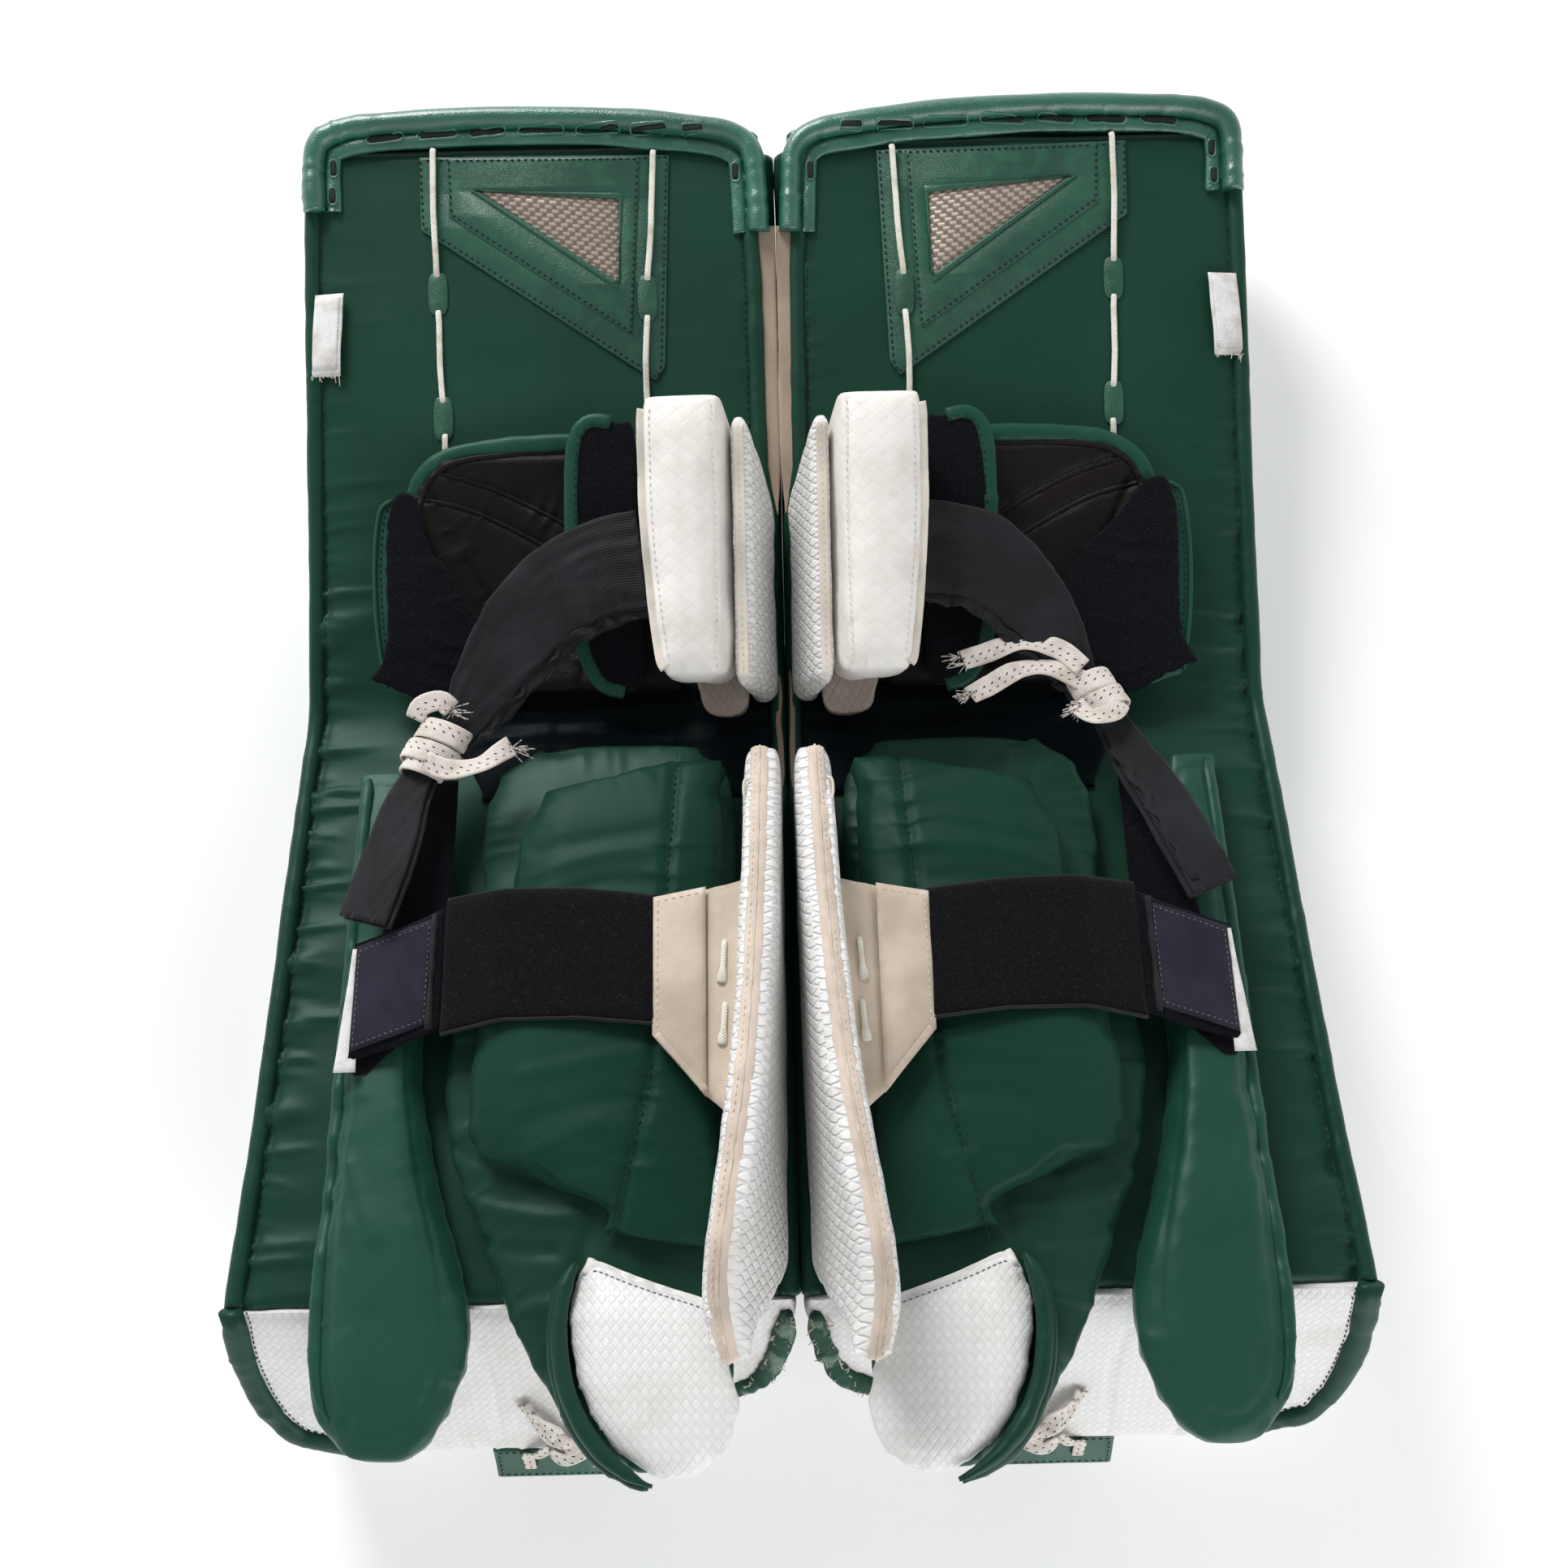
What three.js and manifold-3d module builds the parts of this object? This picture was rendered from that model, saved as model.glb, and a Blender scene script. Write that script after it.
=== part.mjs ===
// Pair of ice hockey goalie leg pads, lying face down side by side.
// Millimetres, +Z up, +Y towards the thigh end, left-leg pad at negative X.
// The origin is the bottom centre of the pair's bounding box.
import * as THREE from 'three';
import { mergeVertices } from 'three/addons/utils/BufferGeometryUtils.js';
import Module from 'manifold-3d';

const wasm = await Module();
wasm.setup();

// Back profile, measured along the back surface from the top edge of the pad.
const THIGH_LENGTH = 345;
const SHIN_LENGTH = 337;
const BOOT_START = THIGH_LENGTH + SHIN_LENGTH;
const THIGH_RISE = 8;
const SHIN_RISE = 14;
const BOOT_FALL = 43;
const CREASE_HEIGHT = 60;
const CENTRE_SHIFT = 40.8;

// Layers under the back surface.
const CORE_DEPTH = 56;
const FACE_DEPTH = 66;
const GAP = 0.5;
const BREAK_GAP = 1;
const TOE_LEAN = 0.6;

// Knee stack.
const BLOCK = { outer: -75, inner: -21, foot: -55, low: 3, step: 34, high: 92, from: 186, to: 336 };
const WEDGE = { outer: -20, inner: -4, low: 3, high: 78, from: 196, to: 338 };
const STACK_BEVEL = 5;

// Calf closure.
const WRAP_LOW = { low: 2.5, high: 26 };
const WRAP_TOP = { low: 26.6, high: 48 };
const STRAP_THICKNESS = 3.5;
const STRAP_ANCHOR = -44;
const STRAP_EDGE = { top: 478, bottom: 546 };

// Calf landing.
const LANDING_THICKNESS = 18;
const LANDING_FOOT = -12;

const COLOURS = {
  green: [0x0f4a35, 0.55],
  cuff: [0x0c4030, 0.35],
  face: [0xcfc4b2, 0.5],
  white: [0xe4e6e8, 0.5],
  black: [0x121214, 0.95],
  liner: [0x1d1512, 0.8],
  elastic: [0x232325, 0.8],
  weave: [0x8d8378, 0.35],
  lace: [0xe6dfd4, 0.8],
  beige: [0xd9cbb8, 0.5],
};

function finish(name) {
  const [color, roughness] = COLOURS[name];
  return new THREE.MeshStandardMaterial({ color, roughness, metalness: 0 });
}

const radians = THREE.MathUtils.degToRad;
const lerp = THREE.MathUtils.lerp;

// A smooth curve through [position, value] pairs, as a function of position.
function through(...points) {
  const curve = new THREE.CatmullRomCurve3(
    points.map(([at, value]) => new THREE.Vector3(at, value, 0)), false, 'centripetal');
  const dense = curve.getPoints(points.length * 12);
  return (at) => {
    const next = dense.findIndex((p) => p.x >= at);
    if (next === 0) return dense[0].y;
    if (next < 0) return dense[dense.length - 1].y;
    const a = dense[next - 1];
    const b = dense[next];
    return lerp(a.y, b.y, (at - a.x) / Math.max(b.x - a.x, 1e-9));
  };
}

const asFunction = (value) => (typeof value === 'function' ? value : () => value);

// Keeps only the positions of a closed geometry and merges the shared ones.
function closed(geometry) {
  geometry.deleteAttribute('normal');
  geometry.deleteAttribute('uv');
  const merged = mergeVertices(geometry, 1e-4);
  merged.computeVertexNormals();
  return merged;
}

// 1 in the middle of a width of 1, falling to 0 at both of its ends.
const crown = (at) => 1 - (2 * at - 1) ** 4;

// A soft slab on the back surface. Its outline runs between two side edges, given as x for
// a distance s along the pad, from one end to the other. rim is the share of the thickness
// that is left at its border, and round spaces the rows for a rounded end.
function slab({ from, to, left, right, low, high, ...options }) {
  const { rim = 1, across = 2, along = 8, round = false, zero = THIGH_LENGTH } = options;
  const [start, end, l, r, bottom, top] = [from, to, left, right, low, high].map(asFunction);
  const geometry = new THREE.BoxGeometry(1, 1, 1, across, along, 1);
  const points = geometry.attributes.position;
  for (let i = 0; i < points.count; i += 1) {
    const u = points.getX(i) + 0.5;
    const row = 0.5 - points.getY(i);
    const v = round ? (1 - Math.cos(Math.PI * row)) / 2 : row;
    const s = lerp(start(u), end(u), v);
    const x = lerp(l(s), r(s), u);
    const lower = bottom(x, s);
    const upper = lerp(lower, top(x, s), lerp(rim, 1, crown(u) * crown(v)));
    points.setXYZ(i, x, zero - s, points.getZ(i) > 0 ? upper : lower);
  }
  return closed(geometry);
}

// A flat outline of [x, s] corners, extruded from height low to height high.
function plate(corners, low, high, hole = null) {
  const outline = (list) => list.map(([x, s]) => new THREE.Vector2(x, THIGH_LENGTH - s));
  const shape = new THREE.Shape(outline(corners));
  if (hole) shape.holes.push(new THREE.Path(outline(hole)));
  const geometry = new THREE.ExtrudeGeometry(shape, { depth: high - low, bevelEnabled: false });
  geometry.translate(0, 0, low);
  return closed(geometry);
}

// A block with a profile of [x, h] corners that runs along the pad from s = from to s = to.
function alongPad(corners, from, to, bevel) {
  const shape = new THREE.Shape(corners.map(([x, h]) => new THREE.Vector2(x, h)));
  const geometry = new THREE.ExtrudeGeometry(shape, {
    depth: to - from - 2 * bevel,
    bevelSize: bevel,
    bevelThickness: bevel,
    bevelOffset: -bevel,
    bevelSegments: 2,
  });
  geometry.translate(0, 0, bevel);
  geometry.rotateX(Math.PI / 2);
  geometry.translate(0, THIGH_LENGTH - from, 0);
  return closed(geometry);
}

function toSolid(geometry) {
  return new wasm.Manifold(new wasm.Mesh({
    numProp: 3,
    vertProperties: new Float32Array(geometry.attributes.position.array),
    triVerts: new Uint32Array(geometry.index.array),
  }));
}

function join(...geometries) {
  const whole = geometries.map(toSolid).reduce((sum, part) => sum.add(part));
  const mesh = whole.getMesh();
  const geometry = new THREE.BufferGeometry();
  geometry.setAttribute('position', new THREE.BufferAttribute(new Float32Array(mesh.vertProperties), 3));
  geometry.setIndex(new THREE.BufferAttribute(new Uint32Array(mesh.triVerts), 1));
  geometry.computeVertexNormals();
  return geometry;
}

// ---- thigh, shin and boot sections -------------------------------------------------------

const outerEdge = through(
  [0, -275], [100, -277], [211, -278], [331, -280], [406, -283], [548, -288], [666, -294],
  [722, -298], [773, -291], [806, -272]);
const innerEdge = through(
  [0, -12], [20, -6], [69, -4], [266, -2.5], [700, -3.5], [727, -9], [749, -18], [806, -60]);

// Lowest height above the tilted section at which the floor plane z = 0 lies.
const floorUnder = (s, rise) => (
  -(CREASE_HEIGHT + Math.abs(THIGH_LENGTH - s) * Math.sin(radians(rise))) / Math.cos(radians(rise)));

function layer(rise, from, to, low, high) {
  const bottom = (x, s) => Math.max(low, floorUnder(s, rise));
  return slab({ from, to, left: outerEdge, right: innerEdge, low: bottom, high, across: 2, along: 4 });
}

const CORE_START = 14;
const FACE_START = 8;
const thighEnd = THIGH_LENGTH - BREAK_GAP;
const shinStart = THIGH_LENGTH + BREAK_GAP;

function thighCore() {
  return layer(THIGH_RISE, CORE_START, thighEnd, -CORE_DEPTH, 0);
}

// The knee end of the face shells is cut flat where the pad rests on the floor.
function thighFace() {
  return restingFace(THIGH_RISE, FACE_START, thighEnd);
}

function restingFace(rise, from, to) {
  const sign = rise === THIGH_RISE ? 1 : -1;
  const angle = radians(sign * rise);
  const flatReach = (FACE_DEPTH * Math.cos(angle) - CREASE_HEIGHT) / Math.sin(Math.abs(angle));
  const knee = sign > 0 ? to : from;
  const flatEnd = THIGH_LENGTH - sign * flatReach;
  const far = sign > 0 ? from : to;
  const stations = [knee, flatEnd, lerp(flatEnd, far, 0.5), far].sort((a, b) => a - b);
  const geometry = new THREE.BoxGeometry(1, 1, 1, 2, 3, 1);
  const points = geometry.attributes.position;
  for (let i = 0; i < points.count; i += 1) {
    const u = points.getX(i) + 0.5;
    const s = stations[Math.round((0.5 - points.getY(i)) * 3)];
    const h = points.getZ(i) > 0 ? -CORE_DEPTH - GAP : Math.max(-FACE_DEPTH, floorUnder(s, rise));
    points.setXYZ(i, lerp(outerEdge(s), innerEdge(s), u), THIGH_LENGTH - s, h);
  }
  return closed(geometry);
}

// The shin's lower end and the boot's upper end are mitred, with a wedge of air between
// them on the face side for the boot to bend into.
const MITRE = Math.tan(radians((SHIN_RISE + BOOT_FALL) / 2));
const FLEX_WEDGE = Math.tan(radians(10));

function mitredShin(geometry) {
  const points = geometry.attributes.position;
  for (let i = 0; i < points.count; i += 1) {
    const atBreak = points.getY(i) < 3 - SHIN_LENGTH;
    if (atBreak) points.setY(i, points.getY(i) - points.getZ(i) * MITRE);
  }
  return geometry;
}

function shinCore() {
  return mitredShin(layer(SHIN_RISE, shinStart, BOOT_START - BREAK_GAP, -CORE_DEPTH, 0));
}

function shinFace() {
  return mitredShin(restingFace(SHIN_RISE, shinStart, BOOT_START - BREAK_GAP));
}

const toeEnd = through([0, 792], [0.12, 803], [0.3, 807], [0.6, 805], [0.8, 790], [0.93, 768], [1, 750]);

// The boot reaches the floor at the toe, where its end leans forward.
function bootLayer(lowShare, highShare) {
  const sine = Math.sin(radians(BOOT_FALL));
  const cosine = Math.cos(radians(BOOT_FALL));
  const breakHeight = CREASE_HEIGHT + SHIN_LENGTH * Math.sin(radians(SHIN_RISE));
  const toeDepth = (u) => Math.min(
    FACE_DEPTH, (breakHeight - (toeEnd(u) - BOOT_START) * sine) / (TOE_LEAN * sine + cosine));
  const geometry = new THREE.BoxGeometry(1, 1, 1, 10, 5, 1);
  const points = geometry.attributes.position;
  for (let i = 0; i < points.count; i += 1) {
    const u = points.getX(i) + 0.5;
    const row = 0.5 - points.getY(i);
    const s = lerp(BOOT_START + BREAK_GAP, toeEnd(u), row);
    const x = lerp(outerEdge(s), innerEdge(s), u);
    const h = -lerp(FACE_DEPTH, toeDepth(u), row) * (points.getZ(i) > 0 ? highShare : lowShare);
    const lean = h * lerp(MITRE + FLEX_WEDGE, TOE_LEAN, row);
    points.setXYZ(i, x, BOOT_START - s + lean, h);
  }
  return closed(geometry);
}

function bootCore() {
  return bootLayer(0.84, 0);
}

function bootFace() {
  return bootLayer(1, 0.87);
}

// ---- thigh trim --------------------------------------------------------------------------

// The cuff is a foam roll across the top end. It laps over the back cover and sends an arm
// down each side.
const CUFF = { outer: -276, inner: -4, lap: 18, rise: 9, arm: 17, outerArmEnd: 50, innerArmEnd: 68 };
const CUFF_TOP = [
  [-272, 5], [-260, -1], [-240, -5], [-187, -8], [-144, -8], [-91, -5], [-45, 0], [-22, 6], [-10, 12]];

function topCuff() {
  const c = CUFF;
  const lapCorners = [[c.outer, c.lap], ...CUFF_TOP, [c.inner, c.lap]];
  const rollCorners = [[-275, CORE_START - GAP], ...CUFF_TOP, [-8, CORE_START - GAP]];
  const arm = (left, end) => [[left, c.arm], [left + c.arm, c.arm], [left + c.arm, end], [left, end]];
  return join(
    plate(lapCorners, GAP, c.rise),
    plate(rollCorners, -CORE_DEPTH, GAP + 1),
    plate(arm(c.outer, c.outerArmEnd), GAP, c.rise - 2),
    plate(arm(c.inner - c.arm, c.innerArmEnd), GAP, c.rise - 2),
  );
}

const PATCH = [[-208, 19], [-208, 62], [-72, 154], [-66, 145], [-61, 21]];
const WINDOW = [[-174, 40], [-91, 47], [-92, 96]];
const PATCH_TOP = 3;

function thighPatch() {
  return plate(PATCH, GAP, PATCH_TOP, WINDOW);
}

function weaveInsert() {
  const inset = [[-171, 41.5], [-92, 48.2], [-93, 93.5]];
  return plate(inset, GAP, PATCH_TOP - 0.8);
}

// A lace lies on the patch until a row past the patch's end, and on the cover from there.
const LACE = { width: 4.5, thickness: 2 };

function lace(left, from, to, patchEnd) {
  const rows = 8;
  const stepDown = patchEnd + (to - from) / rows;
  const base = (x, s) => (s <= stepDown ? PATCH_TOP + GAP : GAP);
  const right = (s) => asFunction(left)(s) + LACE.width;
  const high = (x, s) => base(x, s) + LACE.thickness;
  return slab({ from, to, left, right, low: base, high, across: 1, along: rows });
}

function outerLace() {
  return lace(-201, 19, 194, 70);
}

function innerLace() {
  return lace(through([23, -72], [95, -77], [182, -81]), 23, 180, 158);
}

function edgeTag() {
  return slab({ from: 101, to: 150, left: -274, right: -258, low: 2, high: 3.5, across: 1, along: 2 });
}

// ---- knee cradle -------------------------------------------------------------------------

function kneeLiner() {
  const left = through([196, -200], [206, -214], [240, -222], [338, -222]);
  return slab({
    from: 196,
    to: 338,
    left,
    right: through([196, -96], [206, -66], [338, -60]),
    low: GAP,
    high: 7,
    rim: 1.9,
    across: 3,
    along: 5,
  });
}

function outerKneeFlap() {
  const right = through([226, -208], [262, -190], [296, -170], [342, -190]);
  const left = through([226, -233], [310, -236], [342, -224]);
  return slab({ from: 226, to: 342, left, right, low: 15, high: 22, rim: 0.8, along: 8 });
}

function innerKneeFlap() {
  const left = through([186, -110], [198, -119], [240, -121], [299, -113], [337, -92]);
  return slab({ from: 186, to: 337, left, right: -82, low: 24, high: 30, along: 5 });
}

function kneeBlock() {
  const b = BLOCK;
  const corners = [
    [b.foot, b.low], [b.inner, b.low], [b.inner, b.high], [b.outer, b.high], [b.outer, b.step], [b.foot, b.step]];
  return alongPad(corners, b.from, b.to, STACK_BEVEL);
}

function kneeWedge() {
  const w = WEDGE;
  const corners = [[w.outer, w.low], [w.inner, w.low], [w.inner, w.high], [w.outer, w.high]];
  return alongPad(corners, w.from, w.to, STACK_BEVEL);
}

// A flat band along a centre line of [x, s, h] points, with a width at its start and end.
function band(points, startWidth, endWidth, thickness, rows = 8) {
  const path = new THREE.CatmullRomCurve3(points.map(([x, s, h]) => new THREE.Vector3(x, THIGH_LENGTH - s, h)));
  const geometry = new THREE.BoxGeometry(1, 1, 1, 1, rows, 1);
  const corners = geometry.attributes.position;
  const up = new THREE.Vector3(0, 0, 1);
  for (let i = 0; i < corners.count; i += 1) {
    const t = 0.5 - corners.getY(i);
    const centre = path.getPoint(t);
    const side = new THREE.Vector3().crossVectors(path.getTangent(t), up).normalize();
    const across = corners.getX(i) * lerp(startWidth, endWidth, t);
    centre.addScaledVector(side, -across);
    centre.z += corners.getZ(i) * thickness;
    corners.setXYZ(i, centre.x, centre.y, centre.z);
  }
  return closed(geometry);
}

function elasticUpper(route) {
  return band(route.upper, 50, 22, 2);
}

function laceKnot(route) {
  const [x, s, h] = route.knot;
  const geometry = new THREE.IcosahedronGeometry(1, 1);
  geometry.scale(18, 18, 10);
  geometry.translate(x, THIGH_LENGTH - s, h);
  return closed(geometry);
}

function elasticLower(route) {
  return band(route.lower, 22, 26, 2, 5);
}

// ---- calf wing, wrap and strap -----------------------------------------------------------

function outerWing() {
  return slab({
    from: 388,
    to: 753,
    left: through([388, -243], [600, -244], [700, -245], [730, -240], [747, -226], [753, -214]),
    right: through(
      [388, -216], [430, -202], [480, -197], [560, -193], [579, -191], [620, -182], [652, -173], [676, -167],
      [694, -166], [717, -169], [740, -179], [753, -196]),
    low: 2,
    high: (x, s) => lerp(22, 34, (s - 388) / 365),
    rim: 0.55,
    across: 4,
    along: 18,
    round: true,
  });
}

function wrapLower() {
  return slab({
    from: 376,
    to: 761,
    left: through(
      [376, -118], [381, -148], [403, -166], [439, -173], [463, -170], [535, -183], [574, -185], [599, -182],
      [631, -171], [652, -163], [675, -154], [713, -136], [744, -114], [761, -84]),
    right: through([376, -60], [386, -42], [400, -34], [675, -34], [745, -42], [761, -64]),
    ...WRAP_LOW,
    rim: 0.6,
    across: 4,
    along: 18,
    round: true,
  });
}

function wrapUpper() {
  return slab({
    from: 396,
    to: 658,
    left: through(
      [396, -75], [404, -120], [415, -137], [434, -148], [471, -153], [541, -166], [591, -168], [609, -163],
      [626, -138], [634, -113], [645, -98], [658, -102]),
    right: through([396, -42], [410, -37], [658, -40]),
    ...WRAP_TOP,
    rim: 0.5,
    across: 4,
    along: 18,
  });
}

function ankleGuard() {
  return slab({
    from: (u) => lerp(661, 684, u),
    to: 763,
    left: through([661, -104], [681, -113], [711, -112], [729, -107], [744, -97], [755, -86], [763, -70]),
    right: through([661, -48], [690, -40], [715, -34], [731, -31], [749, -36], [758, -44], [763, -56]),
    ...WRAP_TOP,
    rim: 0.4,
    across: 4,
    along: 9,
    round: true,
  });
}

// Underside of the strap: it clears the upper wrap, then drops to the wing.
const strapUnder = through(
  [-234, 33], [-215, 34.5], [-200, 37], [-184, 41], [-170, 46], [-155, 51], [-135, 55], [-100, 58],
  [-72, 60], [-40, 60]);

function strapPiece(from, to, left, right, across) {
  return slab({
    from,
    to,
    left,
    right,
    low: (x) => strapUnder(x),
    high: (x) => strapUnder(x) + STRAP_THICKNESS,
    across,
    along: 1,
  });
}

function strapTab() {
  return strapPiece((u) => lerp(STRAP_EDGE.top, 486, u), (u) => lerp(552, 592, u), -71, STRAP_ANCHOR, 2);
}

function calfStrap() {
  return strapPiece(STRAP_EDGE.top, STRAP_EDGE.bottom, -183, -71.6, 6);
}

function strapEnd() {
  return strapPiece((u) => lerp(504, 486, u), (u) => lerp(560, 546, u), -232, -183.6, 3);
}

// The landing stands on the inner edge, leans out towards its foot, and its lower end is cut
// at a slant.
function calfLanding() {
  const height = through([402, 74], [493, 95], [579, 110], [636, 118], [680, 114], [716, 105]);
  const topCentre = through([402, -12], [493, -15], [579, -21], [636, -29], [690, -36], [716, -30]);
  const geometry = new THREE.BoxGeometry(1, 1, 1, 1, 12, 3);
  const points = geometry.attributes.position;
  for (let i = 0; i < points.count; i += 1) {
    const rise = points.getZ(i) + 0.5;
    const s = lerp(402, lerp(668, 714, rise), 0.5 - points.getY(i));
    const x = lerp(LANDING_FOOT, topCentre(s), rise) + points.getX(i) * LANDING_THICKNESS;
    points.setXYZ(i, Math.min(x, -2), THIGH_LENGTH - s, lerp(3, height(s), rise));
  }
  return closed(geometry);
}

// ---- toe ---------------------------------------------------------------------------------

function toeBridge() {
  const size = { from: 812.5, to: 838, left: -175, right: -97, low: -7, high: -3 };
  return slab({ ...size, across: 1, along: 1, zero: BOOT_START });
}

function toeLace() {
  return slab({
    from: 766,
    to: 802,
    left: through([766, -144], [802, -136]),
    right: through([766, -130], [802, -120]),
    low: GAP,
    high: 6,
    along: 3,
    zero: BOOT_START,
  });
}

// ---- assembly ----------------------------------------------------------------------------

// How the knee lace is tied: the run of the upper elastic, the middle of the knot, and the
// run of the lower elastic, as [x, s, h] points.
const ROUTES = {
  left: {
    upper: [[-90, 264, 50], [-135, 288, 47], [-166, 328, 44], [-190, 362, 42]],
    knot: [-196, 390, 42],
    lower: [[-206, 413, 42], [-214, 440, 44], [-226, 486, 47]],
  },
  right: {
    upper: [[-90, 262, 50], [-126, 281, 47], [-146, 300, 44], [-160, 319, 42]],
    knot: [-175, 364, 42],
    lower: [[-186, 388, 42], [-202, 424, 44], [-226, 480, 47]],
  },
};

function section(y, z, degrees, pieces, prefix) {
  const group = new THREE.Group();
  group.position.set(0, y, z);
  group.rotation.x = radians(degrees);
  for (const [name, geometry, colour] of pieces) {
    const mesh = new THREE.Mesh(geometry, finish(colour));
    mesh.name = `${prefix}_${name}`;
    group.add(mesh);
  }
  return group;
}

function pad(prefix) {
  const route = ROUTES[prefix];
  const thigh = [
    ['thigh_core', thighCore(), 'green'],
    ['thigh_face', thighFace(), 'face'],
    ['top_cuff', topCuff(), 'cuff'],
    ['thigh_patch', thighPatch(), 'green'],
    ['weave_insert', weaveInsert(), 'weave'],
    ['outer_lace', outerLace(), 'lace'],
    ['inner_lace', innerLace(), 'lace'],
    ['edge_tag', edgeTag(), 'white'],
    ['knee_liner', kneeLiner(), 'liner'],
    ['outer_knee_flap', outerKneeFlap(), 'black'],
    ['inner_knee_flap', innerKneeFlap(), 'black'],
    ['knee_block', kneeBlock(), 'white'],
    ['knee_wedge', kneeWedge(), 'white'],
    ['elastic_upper', elasticUpper(route), 'elastic'],
  ];
  const shin = [
    ['shin_core', shinCore(), 'green'],
    ['shin_face', shinFace(), 'face'],
    ['lace_knot', laceKnot(route), 'lace'],
    ['elastic_lower', elasticLower(route), 'elastic'],
    ['outer_wing', outerWing(), 'green'],
    ['wrap_lower', wrapLower(), 'green'],
    ['wrap_upper', wrapUpper(), 'green'],
    ['ankle_guard', ankleGuard(), 'white'],
    ['calf_strap', calfStrap(), 'black'],
    ['strap_tab', strapTab(), 'beige'],
    ['strap_end', strapEnd(), 'black'],
    ['calf_landing', calfLanding(), 'white'],
  ];
  const boot = [
    ['boot_core', bootCore(), 'white'],
    ['boot_face', bootFace(), 'face'],
    ['toe_bridge', toeBridge(), 'green'],
    ['toe_lace', toeLace(), 'lace'],
  ];
  const breakY = -SHIN_LENGTH * Math.cos(radians(SHIN_RISE));
  const breakZ = CREASE_HEIGHT + SHIN_LENGTH * Math.sin(radians(SHIN_RISE));
  const group = new THREE.Group();
  group.add(section(0, CREASE_HEIGHT, THIGH_RISE, thigh, prefix));
  group.add(section(0, CREASE_HEIGHT, -SHIN_RISE, shin, prefix));
  group.add(section(breakY, breakZ, BOOT_FALL, boot, prefix));
  return group;
}

const pair = new THREE.Group();
const right = pad('right');
right.scale.x = -1;
pair.add(pad('left'), right);
pair.position.y = CENTRE_SHIFT;

export default pair;
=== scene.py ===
"""Goalie leg pads: the fabric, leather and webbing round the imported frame.

Shapes are made for the left pad and mirrored for the right one. A pad's back has three flat
sections, and a point on one is (x, s, h) in millimetres: x across, s along the back from the
pad's top edge, and h above the back's surface.
"""

import math
from functools import partial

import bmesh
import bpy
import numpy as np
from mathutils import Matrix, Vector
from mathutils.bvhtree import BVHTree
from mathutils.geometry import tessellate_polygon


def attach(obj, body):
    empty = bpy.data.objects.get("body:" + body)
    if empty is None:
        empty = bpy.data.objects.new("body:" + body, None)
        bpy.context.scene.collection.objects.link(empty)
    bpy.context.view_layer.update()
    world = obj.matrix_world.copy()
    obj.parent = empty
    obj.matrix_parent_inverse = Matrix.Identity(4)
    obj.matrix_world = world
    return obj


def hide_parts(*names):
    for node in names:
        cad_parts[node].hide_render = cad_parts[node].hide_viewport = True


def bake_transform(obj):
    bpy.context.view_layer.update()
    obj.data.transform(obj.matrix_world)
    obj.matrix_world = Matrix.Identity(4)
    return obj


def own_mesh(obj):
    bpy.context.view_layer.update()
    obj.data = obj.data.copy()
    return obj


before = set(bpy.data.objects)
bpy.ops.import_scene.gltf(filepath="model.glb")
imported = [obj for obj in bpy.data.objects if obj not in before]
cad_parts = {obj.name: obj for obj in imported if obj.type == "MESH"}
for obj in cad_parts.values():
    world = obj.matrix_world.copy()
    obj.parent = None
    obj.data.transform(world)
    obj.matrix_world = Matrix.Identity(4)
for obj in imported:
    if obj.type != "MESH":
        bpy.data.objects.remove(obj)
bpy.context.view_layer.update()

MM = 0.001
SIDES = ("left", "right")


# ---------------------------------------------------------------- the pad's sections

class Section:
    """A stretch of the back that slopes up towards the pad's top edge by a fixed angle."""

    def __init__(self, start, y, z, slope):
        self.start = start
        self.y = y
        self.z = z
        self.cos = math.cos(math.radians(slope))
        self.sin = math.sin(math.radians(slope))

    def world(self, points):
        """Section points in millimetres to world points in metres."""
        x, s, h = np.asarray(points, float).reshape(-1, 3).T
        t = self.start - s
        y = self.y + t * self.cos - h * self.sin
        z = self.z + t * self.sin + h * self.cos
        return np.c_[x, y, z] * MM

    def local(self, points):
        """World points to section points."""
        x, y, z = (np.asarray(points, float).reshape(-1, 3) / MM).T
        y = y - self.y
        z = z - self.z
        t = y * self.cos + z * self.sin
        return np.c_[x, self.start - t, z * self.cos - y * self.sin]


class Bend:
    """The whole leg: the thigh and shin sections with the knee crease rounded over REACH."""

    REACH = 30.0

    def __init__(self, upper, lower):
        self.upper = upper
        self.lower = lower

    def world(self, points):
        """Points of the leg to world points in metres."""
        points = np.asarray(points, float).reshape(-1, 3)
        share = np.clip((points[:, 1] - self.upper.start) / (2 * self.REACH) + 0.5, 0, 1)
        share = (share * share * (3 - 2 * share))[:, None]
        return self.upper.world(points) * (1 - share) + self.lower.world(points) * share


CREASE = 345.0
BREAK = 682.0
THIGH = Section(CREASE, 40.8, 60.0, 8)
SHIN = Section(CREASE, 40.8, 60.0, -14)
BOOT = Section(BREAK, -286.2, 141.5, 43)
LEG = Bend(THIGH, SHIN)


# ---------------------------------------------------------------- curves

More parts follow.
